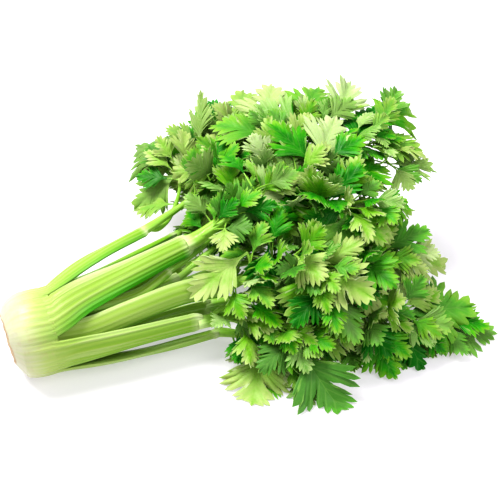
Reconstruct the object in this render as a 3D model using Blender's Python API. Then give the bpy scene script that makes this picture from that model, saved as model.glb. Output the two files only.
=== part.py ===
"""Head of celery lying on its side: a cut butt, thirteen ribbed stalks and the leafy sprays that they carry.

Metres, +Z up. +X runs from the cut butt to the leaves, the front is -Y, and the origin is on the small flat
of the butt that rests on the table. Angles round the head are in degrees, from the top towards the front.
"""

import math
import random
from collections import namedtuple

import bmesh
import bpy
from mathutils import Vector
from mathutils.bvhtree import BVHTree

# The butt
AXIS_HEIGHT = 0.0445
BUTT_PROFILE = ((-0.034, 0.0255), (-0.029, 0.0355), (-0.018, 0.0425), (0.0, 0.0455), (0.0127, 0.0446))
BUTT_SEAM_ANGLE = 1.2
BUTT_SIDES_PER_STALK = 6
BUTT_GROOVE = 0.0018

# The stalks
FOOT_X = 0.013
OUTER_RING = 0.044
INNER_RING = 0.033
OUTER_WALL = 0.009
INNER_WALL = 0.0075
EDGE_THINNING = 0.5
RIBS = 5
RIB_DEPTH = 0.0008
INNER_FACE_POINTS = 4
STALK_STATIONS = 7
HEART_RADIUS = 0.007
HEART_SIDES = 8
JOINT_GAP = 0.0003

# The leaf stems
STEM_CLEARANCE = 0.0008
TRUNK_STEP = 0.030
BEAD_STEP = 0.002
HUB_RADIUS = 0.0014
TWIG_RADIUS = 0.0018
# The straight start of a leaf stem, in its own radii
SHOULDER = 0.8
# A twig beside its trunk: how far before the nearest point it leaves, how far it bows forwards, how thick
FORK_LEAD = 0.6
FORK_BOW = 0.25
FORK_WIDTH = 0.8

# The leaflets, on a midrib one long: x along it, y across
LEAF_THICKNESS = 0.0008
LEAF_CLEARANCE = 0.0010
MIDRIB = (0.0, 0.32, 0.66, 1.0)
LEAFLET_STALK = 0.15
# Side veins that end at a tooth or a notch of the edge: start on the midrib, angle from it, length
VEINS = (
    (0.17, 66, 0.060),
    (0.23, 66, 0.370),
    (0.28, 61, 0.285),
    (0.35, 55, 0.500),
    (0.45, 46, 0.190),
    (0.59, 40, 0.370),
    (0.69, 30, 0.210),
)
LEAF_WIDTH = 0.95
LEAF_SCALE = 1.22
FLOOR = 0.0011
FLOOR_SOFTNESS = 0.005
# Each leaflet of a spray: its angle from the middle one, its size beside it, how far back it leaves the twig
SPRAY_PLAN = ((0, 1.0, 0.0), (68, 0.84, 0.004), (-68, 0.84, 0.008))
LEAF_MASS_CENTRE = Vector((0.27, 0.02, 0.04))
ROOT_DEPTH = 0.0012
OWN_HUB = 0.009
OUTWARD_RISE = 0.5
# A leaflet that meets another is tried again, turned further and a little shorter; its turns are in degrees
LEAF_TRIES = 40
LEAF_TURN = 14
LEAF_ROLL = 22
FIRST_LOOSENESS = 0.35
LOOSER = 0.07
SHORTER = 0.011
# What differs from leaflet to leaflet, from least to most
LENGTHS = (0.94, 1.06)
FOLDS = (0.05, 0.30)
DROOPS = (0.15, 0.75)
CURLS = (0.05, 0.55)
WAVES = (0.02, 0.10)
WAVE_RATE = 9

Stalk = namedtuple("Stalk", "ring angle share way widths curls wall")
Trunk = namedtuple("Trunk", "radius points")
Spray = namedtuple("Spray", "hub tip count face")
Leaf = namedtuple("Leaf", "root forward side normal length fold droop curl wave phase")

# Each stalk: its ring, its angle round the head, half its share of the ring, the points that the middle of its
# wall passes after the foot, its width and the half angle that it curls through (half way, then at the joint),
# and how thick its wall is
STALKS = {
    "outer_1": Stalk(OUTER_RING, -22, 17, ((0.066, 0.045, 0.089), (0.128, 0.069, 0.092)),
                     (0.026, 0.020), (50, 70), 0.0075),
    "outer_2": Stalk(OUTER_RING, 28, 31, ((0.047, -0.004, 0.085), (0.101, 0.012, 0.090),
                                          (0.166, 0.025, 0.100)),
                     (0.036, 0.026), (44, 68), OUTER_WALL),
    "outer_3": Stalk(OUTER_RING, 92, 29, ((0.036, -0.040, 0.045), (0.086, -0.039, 0.045),
                                          (0.160, -0.037, 0.045)),
                     (0.033, 0.025), (42, 66), OUTER_WALL),
    "outer_4": Stalk(OUTER_RING, 146, 23, ((0.096, -0.031, 0.014), (0.177, -0.030, 0.017)),
                     (0.027, 0.021), (42, 64), 0.008),
    "outer_5": Stalk(OUTER_RING, 194, 23, ((0.090, 0.010, 0.008), (0.180, 0.012, 0.012)),
                     (0.028, 0.020), (40, 60), 0.008),
    "outer_6": Stalk(OUTER_RING, 243, 24, ((0.090, 0.055, 0.022), (0.170, 0.075, 0.022)),
                     (0.028, 0.020), (42, 62), 0.008),
    "outer_7": Stalk(OUTER_RING, 294, 25, ((0.080, 0.060, 0.055), (0.165, 0.095, 0.055)),
                     (0.026, 0.018), (44, 64), 0.008),
    "inner_1": Stalk(INNER_RING, 0, 26, ((0.091, -0.002, 0.068), (0.140, 0.014, 0.078)),
                     (0.016, 0.014), (50, 66), 0.006),
    "inner_2": Stalk(INNER_RING, 61, 27, ((0.048, -0.0255, 0.0575), (0.093, -0.0230, 0.066),
                                          (0.143, -0.021, 0.074), (0.189, -0.026, 0.078)),
                     (0.028, 0.026), (42, 58), INNER_WALL),
    "inner_3": Stalk(INNER_RING, 118, 24, ((0.111, -0.012, 0.040), (0.175, -0.012, 0.045)),
                     (0.020, 0.016), (45, 62), 0.007),
    "inner_4": Stalk(INNER_RING, 185, 30, ((0.080, 0.015, 0.025), (0.150, 0.035, 0.035)),
                     (0.022, 0.016), (45, 62), 0.007),
    "inner_5": Stalk(INNER_RING, 290, 35, ((0.090, 0.035, 0.062), (0.160, 0.045, 0.070)),
                     (0.022, 0.017), (46, 62), 0.007),
}
HEART_WAY = ((FOOT_X, 0.0, 0.045), (0.080, 0.008, 0.050), (0.150, 0.022, 0.058))

# The leaf stems that go on from each joint: radius at the joint, then the points that each passes
TRUNKS = {
    "outer_1": (
        Trunk(0.0048, ((0.155, 0.080, 0.096), (0.190, 0.094, 0.104), (0.230, 0.112, 0.116))),
        Trunk(0.0030, ((0.148, 0.078, 0.084), (0.172, 0.108, 0.088), (0.192, 0.158, 0.097))),
    ),
    "outer_2": (
        Trunk(0.0078, ((0.195, 0.030, 0.111), (0.240, 0.052, 0.125), (0.290, 0.090, 0.143),
                       (0.322, 0.114, 0.154))),
        Trunk(0.0032, ((0.190, 0.022, 0.114), (0.225, 0.028, 0.129), (0.262, 0.040, 0.138),
                       (0.312, 0.048, 0.150))),
    ),
    "outer_3": (
        Trunk(0.0064, ((0.190, -0.036, 0.042), (0.206, -0.050, 0.034), (0.214, -0.066, 0.028))),
        Trunk(0.0026, ((0.182, -0.032, 0.054), (0.212, -0.034, 0.058), (0.232, -0.056, 0.052),
                       (0.242, -0.090, 0.038))),
    ),
    "outer_4": (
        Trunk(0.0048, ((0.205, -0.044, 0.017), (0.228, -0.070, 0.014), (0.244, -0.100, 0.012))),
    ),
    "outer_5": (
        Trunk(0.0048, ((0.230, -0.012, 0.014), (0.290, -0.056, 0.015), (0.345, -0.078, 0.016),
                       (0.400, -0.082, 0.015))),
    ),
    "outer_6": (
        Trunk(0.0045, ((0.220, 0.095, 0.024), (0.280, 0.105, 0.030), (0.340, 0.090, 0.032))),
    ),
    "outer_7": (
        Trunk(0.0042, ((0.200, 0.125, 0.062), (0.235, 0.165, 0.080), (0.270, 0.194, 0.102))),
    ),
    "inner_1": (
        Trunk(0.0034, ((0.165, 0.022, 0.084), (0.200, 0.045, 0.092), (0.240, 0.095, 0.104),
                       (0.266, 0.125, 0.114))),
    ),
    "inner_2": (
        Trunk(0.0056, ((0.210, -0.026, 0.082), (0.240, -0.026, 0.088), (0.266, -0.046, 0.096),
                       (0.276, -0.076, 0.088))),
    ),
    "inner_3": (
        Trunk(0.0042, ((0.215, -0.022, 0.048), (0.255, -0.044, 0.048), (0.305, -0.070, 0.046),
                       (0.355, -0.088, 0.044))),
    ),
    "inner_4": (
        Trunk(0.0040, ((0.200, 0.036, 0.046), (0.260, 0.016, 0.060), (0.320, -0.020, 0.074),
                       (0.360, -0.042, 0.082))),
    ),
    "inner_5": (
        Trunk(0.0040, ((0.200, 0.046, 0.082), (0.255, 0.034, 0.104), (0.310, 0.008, 0.122),
                       (0.350, -0.004, 0.132))),
    ),
    "heart": (
        Trunk(0.0038, ((0.190, 0.040, 0.068), (0.250, 0.066, 0.092), (0.310, 0.073, 0.121),
                       (0.357, 0.074, 0.146), (0.398, 0.086, 0.149))),
    ),
}

UP = (0.0, -0.1, 1.0)
VIEWER = (-0.25, -0.75, 0.6)
OUTWARD = None
# Each spray: where its leaflets meet, the tip of its middle leaflet, how many leaflets, where its face looks
SPRAYS = {
    "outer_1": (
        Spray((0.228, 0.110, 0.118), (0.172, 0.122, 0.104), 3, (0.0, -0.55, 0.8)),
        Spray((0.192, 0.160, 0.098), (0.154, 0.224, 0.110), 3, (-0.3, -0.2, 0.9)),
        Spray((0.172, 0.106, 0.088), (0.140, 0.126, 0.084), 2, UP),
        Spray((0.214, 0.098, 0.126), (0.190, 0.080, 0.152), 2, (-0.3, -0.7, 0.5)),
    ),
    "outer_2": (
        Spray((0.236, 0.036, 0.146), (0.218, 0.004, 0.118), 2, VIEWER),
        Spray((0.268, 0.040, 0.138), (0.262, -0.012, 0.110), 3, VIEWER),
        Spray((0.322, 0.116, 0.156), (0.352, 0.170, 0.176), 3, UP),
        Spray((0.312, 0.048, 0.152), (0.352, 0.094, 0.170), 3, (0.1, -0.6, 0.8)),
        Spray((0.283, 0.125, 0.140), (0.308, 0.192, 0.164), 3, (0.0, -0.3, 0.9)),
        Spray((0.356, 0.104, 0.158), (0.391, 0.148, 0.168), 3, (0.1, -0.3, 0.9)),
    ),
    "outer_3": (
        Spray((0.241, -0.091, 0.036), (0.259, -0.155, 0.008), 3, VIEWER),
        Spray((0.214, -0.066, 0.028), (0.187, -0.126, 0.010), 2, (-0.3, -0.5, 0.8)),
        Spray((0.250, -0.080, 0.050), (0.300, -0.098, 0.046), 2, (0.0, -0.4, 0.9)),
    ),
    "outer_4": (
        Spray((0.244, -0.100, 0.012), (0.213, -0.158, 0.004), 3, UP),
        Spray((0.229, -0.086, 0.013), (0.184, -0.139, 0.004), 2, UP),
    ),
    "outer_5": (
        Spray((0.401, -0.084, 0.016), (0.456, -0.106, 0.008), 3, UP),
        Spray((0.343, -0.090, 0.016), (0.348, -0.123, 0.006), 3, UP),
        Spray((0.301, -0.076, 0.018), (0.304, -0.109, 0.008), 2, UP),
        Spray((0.371, -0.090, 0.018), (0.382, -0.117, 0.008), 2, UP),
    ),
    "outer_6": (
        Spray((0.262, 0.122, 0.030), (0.262, 0.180, 0.012), 3, OUTWARD),
        Spray((0.340, 0.092, 0.032), (0.388, 0.128, 0.014), 3, OUTWARD),
        Spray((0.350, 0.070, 0.036), (0.412, 0.060, 0.030), 2, OUTWARD),
    ),
    "outer_7": (
        Spray((0.270, 0.195, 0.104), (0.285, 0.239, 0.142), 3, (-0.1, -0.3, 0.9)),
        Spray((0.223, 0.168, 0.084), (0.216, 0.218, 0.112), 3, (-0.2, -0.5, 0.8)),
        Spray((0.290, 0.180, 0.080), (0.342, 0.206, 0.060), 2, OUTWARD),
        Spray((0.220, 0.181, 0.106), (0.227, 0.216, 0.148), 1, (-0.9, -0.5, 0.3)),
    ),
    "inner_1": (
        Spray((0.266, 0.125, 0.116), (0.276, 0.186, 0.136), 3, (-0.2, -0.4, 0.9)),
        Spray((0.238, 0.118, 0.106), (0.236, 0.178, 0.122), 2, (0.0, -0.4, 0.9)),
        Spray((0.214, 0.050, 0.106), (0.186, 0.070, 0.112), 2, (-0.2, -0.4, 0.9)),
    ),
    "inner_2": (
        Spray((0.214, -0.014, 0.104), (0.158, -0.030, 0.094), 2, (-0.1, -0.5, 0.9)),
        Spray((0.238, -0.012, 0.108), (0.222, -0.050, 0.092), 2, VIEWER),
        Spray((0.268, -0.052, 0.100), (0.240, -0.090, 0.082), 3, VIEWER),
        Spray((0.278, -0.078, 0.088), (0.292, -0.122, 0.070), 3, (0.1, -0.5, 0.8)),
        Spray((0.256, -0.038, 0.110), (0.262, -0.080, 0.116), 2, VIEWER),
        Spray((0.276, -0.060, 0.108), (0.296, -0.106, 0.114), 2, VIEWER),
    ),
    "inner_3": (
        Spray((0.300, -0.066, 0.050), (0.348, -0.080, 0.062), 2, (0.0, -0.4, 0.9)),
        Spray((0.357, -0.088, 0.044), (0.432, -0.086, 0.042), 3, (0.1, -0.4, 0.9)),
        Spray((0.316, -0.088, 0.040), (0.322, -0.134, 0.018), 2, VIEWER),
    ),
    "inner_4": (
        Spray((0.360, -0.043, 0.084), (0.415, -0.056, 0.074), 3, (0.2, -0.4, 0.9)),
        Spray((0.318, -0.046, 0.092), (0.318, -0.092, 0.072), 3, VIEWER),
        Spray((0.350, 0.006, 0.080), (0.411, 0.012, 0.070), 3, (0.3, 0.2, 0.9)),
        Spray((0.262, 0.000, 0.078), (0.256, -0.042, 0.070), 2, VIEWER),
    ),
    "inner_5": (
        Spray((0.352, -0.006, 0.134), (0.400, -0.006, 0.122), 3, (0.2, -0.3, 0.9)),
        Spray((0.318, -0.018, 0.136), (0.292, -0.056, 0.112), 3, VIEWER),
        Spray((0.330, 0.024, 0.138), (0.388, 0.040, 0.148), 2, UP),
        Spray((0.272, 0.014, 0.116), (0.268, -0.026, 0.104), 3, VIEWER),
        Spray((0.296, 0.004, 0.138), (0.290, -0.014, 0.168), 2, (-0.4, -0.8, 0.3)),
    ),
    "heart": (
        Spray((0.357, 0.072, 0.148), (0.404, 0.112, 0.158), 3, UP),
        Spray((0.330, 0.090, 0.134), (0.350, 0.150, 0.128), 3, (0.1, 0.3, 0.9)),
        Spray((0.398, 0.056, 0.126), (0.446, 0.050, 0.118), 2, (0.4, -0.2, 0.9)),
        Spray((0.268, 0.080, 0.112), (0.304, 0.056, 0.120), 3, (0.1, -0.5, 0.85)),
        Spray((0.400, 0.088, 0.150), (0.446, 0.132, 0.156), 3, (0.2, -0.2, 0.9)),
        Spray((0.292, 0.088, 0.130), (0.288, 0.090, 0.168), 2, (-0.7, -0.6, 0.3)),
    ),
}


def clear_scene():
    for thing in list(bpy.data.objects):
        bpy.data.objects.remove(thing, do_unlink=True)


def finish(name, colour, roughness):
    made = bpy.data.materials.new(name)
    made.use_nodes = True
    shader = made.node_tree.nodes["Principled BSDF"]
    shader.inputs["Base Color"].default_value = (*colour, 1.0)
    shader.inputs["Roughness"].default_value = roughness
    shader.inputs["Metallic"].default_value = 0.0
    return made


def mesh_object(name, bm, collection):
    mesh = bpy.data.meshes.new(name)
    bm.to_mesh(mesh)
    bm.free()
    made = bpy.data.objects.new(name, mesh)
    collection.objects.link(made)
    return made


def smooth_way(points, count):
    """`count` places along one smooth curve through the points."""
    points = [Vector(point) for point in points]
    ends = [2 * points[0] - points[1], *points, 2 * points[-1] - points[-2]]
    spans = len(points) - 1
    found = []
    for step in range(count):
        along = spans * step / (count - 1)
        span = min(int(along), spans - 1)
        t = along - span
        a, b, c, d = ends[span:span + 4]
        found.append(0.5 * (2 * b + (c - a) * t + (2 * a - 5 * b + 4 * c - d) * t * t
                            + (3 * b - a - 3 * c + d) * t ** 3))
    return found


def headings(way):
    last = len(way) - 1
    return [(way[min(i + 1, last)] - way[max(i - 1, 0)]).normalized() for i in range(len(way))]


def round_head(angle, radius, x):
    """The point at this angle and distance from the head's axis."""
    turned = math.radians(angle)
    return Vector((x, -math.sin(turned) * radius, AXIS_HEIGHT + math.cos(turned) * radius))


def loft(rings):
    """A closed solid through rings of equally many points."""
    bm = bmesh.new()
    loops = [[bm.verts.new(point) for point in ring] for ring in rings]
    size = len(loops[0])
    for lower, upper in zip(loops, loops[1:]):
        for i in range(size):
            bm.faces.new((lower[i], lower[(i + 1) % size], upper[(i + 1) % size], upper[i]))
    bm.faces.new(loops[0])
    bm.faces.new(loops[-1])
    bm.normal_update()
    bmesh.ops.triangulate(bm, faces=bm.faces[:])
    bmesh.ops.recalc_face_normals(bm, faces=bm.faces[:])
    return bm


def blend(values, along):
    """The value at `along`, from 0 at the foot through half way to 1 at the joint."""
    first, middle, last = values
    if along < 0.5:
        return first + (middle - first) * along * 2
    return middle + (last - middle) * (along * 2 - 1)


def stalk_way(name):
    if name == "heart":
        return smooth_way(HEART_WAY, STALK_STATIONS)
    stalk = STALKS[name]
    foot = round_head(stalk.angle, stalk.ring - stalk.wall / 2, FOOT_X)
    return smooth_way([foot, *stalk.way], STALK_STATIONS)


def stalk_section(width, curl, wall):
    """A crescent's ribbed back, then its hollow face, as (across, outwards) from the middle of its wall."""
    radius = width / 2 / math.sin(curl)
    outline = []
    ridges = 2 * RIBS
    for i in range(ridges + 1):
        angle = curl * (2 * i / ridges - 1)
        reach = radius - (RIB_DEPTH if i % 2 else 0.0)
        outline.append((reach * math.sin(angle), wall / 2 - radius + reach * math.cos(angle)))
    for i in range(INNER_FACE_POINTS):
        angle = curl * (1 - 2 * i / (INNER_FACE_POINTS - 1))
        here = wall * (1 - EDGE_THINNING * (angle / curl) ** 2)
        reach = radius - here
        outline.append((reach * math.sin(angle), wall / 2 - radius + reach * math.cos(angle)))
    return outline


def stalk_bmesh(name):
    if name == "heart":
        return heart_bmesh()
    stalk = STALKS[name]
    way = stalk_way(name)
    turned = math.radians(stalk.angle)
    outwards = Vector((0.0, -math.sin(turned), math.cos(turned)))
    share = math.radians(stalk.share)
    widths = (2 * stalk.ring * math.sin(share), *stalk.widths)
    curls = (share, math.radians(stalk.curls[0]), math.radians(stalk.curls[1]))
    rings = []
    for i, (place, heading) in enumerate(zip(way, headings(way))):
        along = i / (STALK_STATIONS - 1)
        if i == 0:
            heading = Vector((1.0, 0.0, 0.0))
        out = (outwards - outwards.project(heading)).normalized()
        across = heading.cross(out)
        section = stalk_section(blend(widths, along), blend(curls, along), stalk.wall)
        rings.append([place + across * s + out * o for s, o in section])
    return loft(rings)


def heart_bmesh():
    way = stalk_way("heart")
    rings = []
    for place, heading in zip(way, headings(way)):
        up = (Vector((0, 0, 1)) - Vector((0, 0, 1)).project(heading)).normalized()
        across = heading.cross(up)
        turns = [math.tau * i / HEART_SIDES for i in range(HEART_SIDES)]
        rings.append([place + (across * math.cos(t) + up * math.sin(t)) * HEART_RADIUS for t in turns])
    for point in rings[0]:
        point.x = FOOT_X
    return loft(rings)


def butt_bmesh():
    """A lobed dome from the cut scar to the stalks' feet, flat where it rests."""
    outer = [stalk for stalk in STALKS.values() if stalk.ring == OUTER_RING]
    rings = []
    for x, radius in BUTT_PROFILE:
        groove = BUTT_GROOVE * max(0.0, (x - BUTT_PROFILE[1][0]) / (FOOT_X - BUTT_PROFILE[1][0]))
        ring = []
        for stalk in outer:
            for step in range(BUTT_SIDES_PER_STALK):
                part = 2 * step / BUTT_SIDES_PER_STALK - 1
                angle = stalk.angle + part * (stalk.share + BUTT_SEAM_ANGLE)
                ring.append(round_head(angle, radius - groove * part ** 4, x))
        rings.append(ring)
    bm = loft(rings)
    cut = bmesh.ops.bisect_plane(bm, geom=bm.verts[:] + bm.edges[:] + bm.faces[:], plane_co=(0, 0, 0),
                                 plane_no=(0, 0, -1), clear_outer=True)
    rim = [edge for edge in cut["geom_cut"] if isinstance(edge, bmesh.types.BMEdge)]
    bmesh.ops.contextual_create(bm, geom=rim)
    bm.normal_update()
    bmesh.ops.triangulate(bm, faces=bm.faces[:])
    bmesh.ops.recalc_face_normals(bm, faces=bm.faces[:])
    return bm


def flat_leaflet():
    """One leaflet, one long, flat and in triangles: both halves share the midrib."""
    bm = bmesh.new()
    spine = [bm.verts.new((x, 0, 0)) for x in MIDRIB]
    for side in (1, -1):
        edge = []
        for start, angle, length in VEINS:
            turned = math.radians(angle)
            x = start + length * math.cos(turned)
            edge.append(bm.verts.new((x, side * LEAF_WIDTH * length * math.sin(turned), 0)))
        loop = edge + spine[::-1]
        bm.faces.new(loop[::-1] if side > 0 else loop)
    bm.normal_update()
    bmesh.ops.triangulate(bm, faces=bm.faces[:])
    bmesh.ops.recalc_face_normals(bm, faces=bm.faces[:])
    return bm


def leaf_point(leaf, x, y):
    """Where the flat leaflet's point goes: bent down along the midrib, folded, curled and waved across it."""
    bend = leaf.droop * x
    if abs(leaf.droop) > 0.01:
        ahead = math.sin(bend) / leaf.droop
        below = (1 - math.cos(bend)) / leaf.droop
    else:
        ahead, below = x, 0.0
    wave = math.sin(WAVE_RATE * x + leaf.phase)
    lift = abs(y) * math.sin(leaf.fold) - leaf.curl * y * y + leaf.wave * abs(y) * wave
    local = Vector((ahead + lift * math.sin(bend), y * math.cos(leaf.fold), lift * math.cos(bend) - below))
    local *= leaf.length
    place = leaf.root + leaf.forward * local.x + leaf.side * local.y + leaf.normal * local.z
    above = place.z - FLOOR
    place.z = FLOOR + 0.5 * (above + math.sqrt(above * above + FLOOR_SOFTNESS ** 2))
    return place


def leaflet_bmesh(leaf, flat, thickness, first=0.0):
    """The leaflet as a thin solid, from `first` along its midrib."""
    bm = flat.copy()
    for vert in bm.verts:
        vert.co = leaf_point(leaf, max(first, vert.co.x), vert.co.y)
    bm.normal_update()
    lower = [(vert, vert.normal * thickness / 2) for vert in bm.verts]
    raised = bmesh.ops.extrude_face_region(bm, geom=bm.faces[:], use_keep_orig=True)["geom"]
    upper = {tuple(part.co): part for part in raised if isinstance(part, bmesh.types.BMVert)}
    for low, up in lower:
        upper[tuple(low.co)].co += up
        low.co -= up
    bmesh.ops.recalc_face_normals(bm, faces=bm.faces[:])
    if bm.calc_volume(signed=True) < 0:
        bmesh.ops.reverse_faces(bm, faces=bm.faces[:])
    return bm


def beads(stem):
    """Closely spaced (place, radius) along a stem's straight runs."""
    way, radii = stem
    found = [(way[0], radii[0])]
    for a, b, wide, thin in zip(way, way[1:], radii, radii[1:]):
        steps = max(1, math.ceil((b - a).length / BEAD_STEP))
        for step in range(1, steps + 1):
            part = step / steps
            found.append((a.lerp(b, part), wide + (thin - wide) * part))
    return found


class Layout:
    """Every stem and leaflet of the head, each placed clear of the other stalks' pieces by seeded tries."""

    def __init__(self):
        self.flat = flat_leaflet()
        self.stalks = {}
        for name in [*STALKS, "heart"]:
            bm = stalk_bmesh(name)
            self.stalks[name] = BVHTree.FromBMesh(bm)
            bm.free()
        self.stems = {name: [] for name in self.stalks}
        self.beads = {name: [] for name in self.stalks}
        self.hubs = {}
        self.leaves = {name: [] for name in self.stalks}
        self.leaf_trees = {name: [] for name in self.stalks}
        for name in self.stalks:
            self.place_trunks(name)
        for name in self.stalks:
            self.place_twigs(name)
        for rank in range(len(SPRAY_PLAN)):
            for order, name in enumerate(self.stalks):
                for number, spray in enumerate(SPRAYS[name]):
                    if rank < spray.count:
                        self.place_leaf(name, number, rank, random.Random(order * 1000 + number * 10 + rank))

    def add_stem(self, name, way, radii):
        self.stems[name].append((way, radii))
        self.beads[name].append(beads((way, radii)))

    def place_trunks(self, name):
        way = stalk_way(name)
        heading = (way[-1] - way[-2]).normalized()
        start = way[-1] + heading * JOINT_GAP
        for radius, points in TRUNKS[name]:
            route = [start, *[Vector(point) for point in points]]
            length = sum((b - a).length for a, b in zip(route, route[1:]))
            count = max(4, round(length / TRUNK_STEP) + 1)
            places = smooth_way(route, count)
            places.insert(1, start + heading * radius * SHOULDER)
            radii = [radius] + [radius + (HUB_RADIUS - radius) * i / (count - 1) for i in range(count)]
            self.add_stem(name, places, radii)

    def place_twigs(self, name):
        """A twig from the nearest trunk to each hub, leaving the trunk forwards."""
        trunks = list(self.beads[name])
        self.hubs[name] = []
        for spray in SPRAYS[name]:
            hub = Vector(spray.hub)
            gap, index, trunk = min(((point - hub).length, i, number) for number, line in enumerate(trunks)
                                    for i, (point, _) in enumerate(line))
            line = trunks[trunk]
            if gap < 2 * HUB_RADIUS:
                self.hubs[name].append(line[:index + 1])
                continue
            first = max(0, index - round(FORK_LEAD * gap / BEAD_STEP))
            start, wide = line[first]
            heading = (line[min(first + 1, len(line) - 1)][0] - start).normalized()
            middle = (start + hub) / 2 + heading * gap * FORK_BOW
            width = min(TWIG_RADIUS, wide * FORK_WIDTH)
            self.add_stem(name, [start, middle, hub], [width, (width + HUB_RADIUS) / 2, HUB_RADIUS])
            self.hubs[name].append(line[:first] + self.beads[name][-1])

    def leaf_is_clear(self, name, start, tree):
        if any(tree.overlap(stalk) for stalk in self.stalks.values()):
            return False
        for other, lines in self.beads.items():
            for line in lines:
                for point, radius in line:
                    if other == name and (point - start).length < OWN_HUB:
                        continue
                    if tree.find_nearest(point, radius + STEM_CLEARANCE)[0] is not None:
                        return False
        return not any(tree.overlap(leaf_tree) for trees in self.leaf_trees.values() for leaf_tree in trees)

    def place_leaf(self, name, number, rank, draw):
        """A leaflet at its place in the spray, or none where the leaves already there leave it no room."""
        spray = SPRAYS[name][number]
        hub, tip = Vector(spray.hub), Vector(spray.tip)
        outward = (hub - LEAF_MASS_CENTRE).normalized() + Vector((0, 0, OUTWARD_RISE))
        face = Vector(spray.face) if spray.face else outward
        ahead = (tip - hub).normalized()
        normal = (face - face.project(ahead)).normalized()
        side = normal.cross(ahead)
        turn, size, back = SPRAY_PLAN[rank]
        start = self.hubs[name][number][-1 - round(back / BEAD_STEP)][0]
        for attempt in range(LEAF_TRIES):
            loose = FIRST_LOOSENESS + attempt * LOOSER
            yaw = math.radians(turn + draw.uniform(-LEAF_TURN, LEAF_TURN) * loose)
            pitch = math.radians(draw.uniform(-LEAF_TURN, LEAF_TURN) * loose)
            roll = math.radians(draw.uniform(-LEAF_ROLL, LEAF_ROLL) * loose)
            forward = ahead * math.cos(yaw) + side * math.sin(yaw)
            across = side * math.cos(yaw) - ahead * math.sin(yaw)
            raised = forward * math.cos(pitch) + normal * math.sin(pitch)
            over = normal * math.cos(pitch) - forward * math.sin(pitch)
            length = (tip - hub).length * LEAF_SCALE * size * draw.uniform(*LENGTHS) * (1 - SHORTER * attempt)
            leaf = Leaf(
                root=start - raised * ROOT_DEPTH,
                forward=raised,
                side=across * math.cos(roll) + over * math.sin(roll),
                normal=over * math.cos(roll) - across * math.sin(roll),
                length=length,
                fold=draw.uniform(*FOLDS),
                droop=draw.uniform(*DROOPS),
                curl=draw.uniform(*CURLS),
                wave=draw.uniform(*WAVES),
                phase=draw.uniform(0, math.tau),
            )
            bm = leaflet_bmesh(leaf, self.flat, LEAF_THICKNESS + 2 * LEAF_CLEARANCE, LEAFLET_STALK)
            tree = BVHTree.FromBMesh(bm)
            bm.free()
            if self.leaf_is_clear(name, start, tree):
                self.leaves[name].append(leaf)
                self.leaf_trees[name].append(tree)
                return


def tube_object(name, way, radii, collection, ring_detail):
    """A tapered round stem as a closed mesh."""
    curve = bpy.data.curves.new(name, "CURVE")
    curve.dimensions = "3D"
    curve.bevel_depth = 1.0
    curve.bevel_resolution = ring_detail
    curve.use_fill_caps = True
    line = curve.splines.new("POLY")
    line.points.add(len(way) - 1)
    for point, place, radius in zip(line.points, way, radii):
        point.co = (*place, 1.0)
        point.radius = radius
    drawn = bpy.data.objects.new(name, curve)
    collection.objects.link(drawn)
    graph = bpy.context.evaluated_depsgraph_get()
    bm = bmesh.new()
    bm.from_mesh(bpy.data.meshes.new_from_object(drawn.evaluated_get(graph)))
    bpy.data.objects.remove(drawn, do_unlink=True)
    bmesh.ops.remove_doubles(bm, verts=bm.verts[:], dist=1e-6)
    bmesh.ops.recalc_face_normals(bm, faces=bm.faces[:])
    return mesh_object(name, bm, collection)


def foliage_object(name, layout, collection):
    """The stems and leaflets of one stalk, joined in one body."""
    joined = bpy.data.collections.new(name + "_joined")
    bpy.context.scene.collection.children.link(joined)
    first = None
    for number, (way, radii) in enumerate(layout.stems[name]):
        trunk = number < len(TRUNKS[name])
        made = tube_object(f"{name}_stem_{number}", way, radii, joined, 1 if trunk else 0)
        first = first or made
    for number, leaf in enumerate(layout.leaves[name]):
        mesh_object(f"{name}_leaflet_{number}", leaflet_bmesh(leaf, layout.flat, LEAF_THICKNESS), joined)
    joined.objects.unlink(first)
    collection.objects.link(first)
    union = first.modifiers.new("union", "BOOLEAN")
    union.operation = "UNION"
    union.operand_type = "COLLECTION"
    union.collection = joined
    union.solver = "MANIFOLD"
    graph = bpy.context.evaluated_depsgraph_get()
    mesh = bpy.data.meshes.new_from_object(first.evaluated_get(graph))
    first.modifiers.clear()
    first.data = mesh
    first.name = f"foliage_{name}"
    for piece in list(joined.objects):
        bpy.data.objects.remove(piece, do_unlink=True)
    bpy.data.collections.remove(joined)
    return first


def main():
    clear_scene()
    head = bpy.data.collections.new("head_of_celery")
    bpy.context.scene.collection.children.link(head)
    cream = finish("butt", (0.80, 0.78, 0.55), 0.5)
    pale_green = finish("stalk", (0.50, 0.68, 0.18), 0.35)
    green = finish("leaf", (0.10, 0.32, 0.04), 0.45)
    mesh_object("butt", butt_bmesh(), head).data.materials.append(cream)
    layout = Layout()
    for name in layout.stalks:
        stalk = mesh_object(f"stalk_{name}", stalk_bmesh(name), head)
        stalk.data.materials.append(pale_green)
        foliage = foliage_object(name, layout, head)
        foliage.data.materials.clear()
        foliage.data.materials.append(green)
    for thing in head.objects:
        thing.data.shade_smooth()
        thing.data.set_sharp_from_angle(angle=math.radians(35))


main()
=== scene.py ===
"""Head of celery on a pale table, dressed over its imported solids: cream butt, ribbed stalks, leafy sprays."""

import math
import random
from collections import namedtuple

import bmesh
import bpy
import numpy as np
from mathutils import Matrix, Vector
from mathutils.bvhtree import BVHTree


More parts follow.
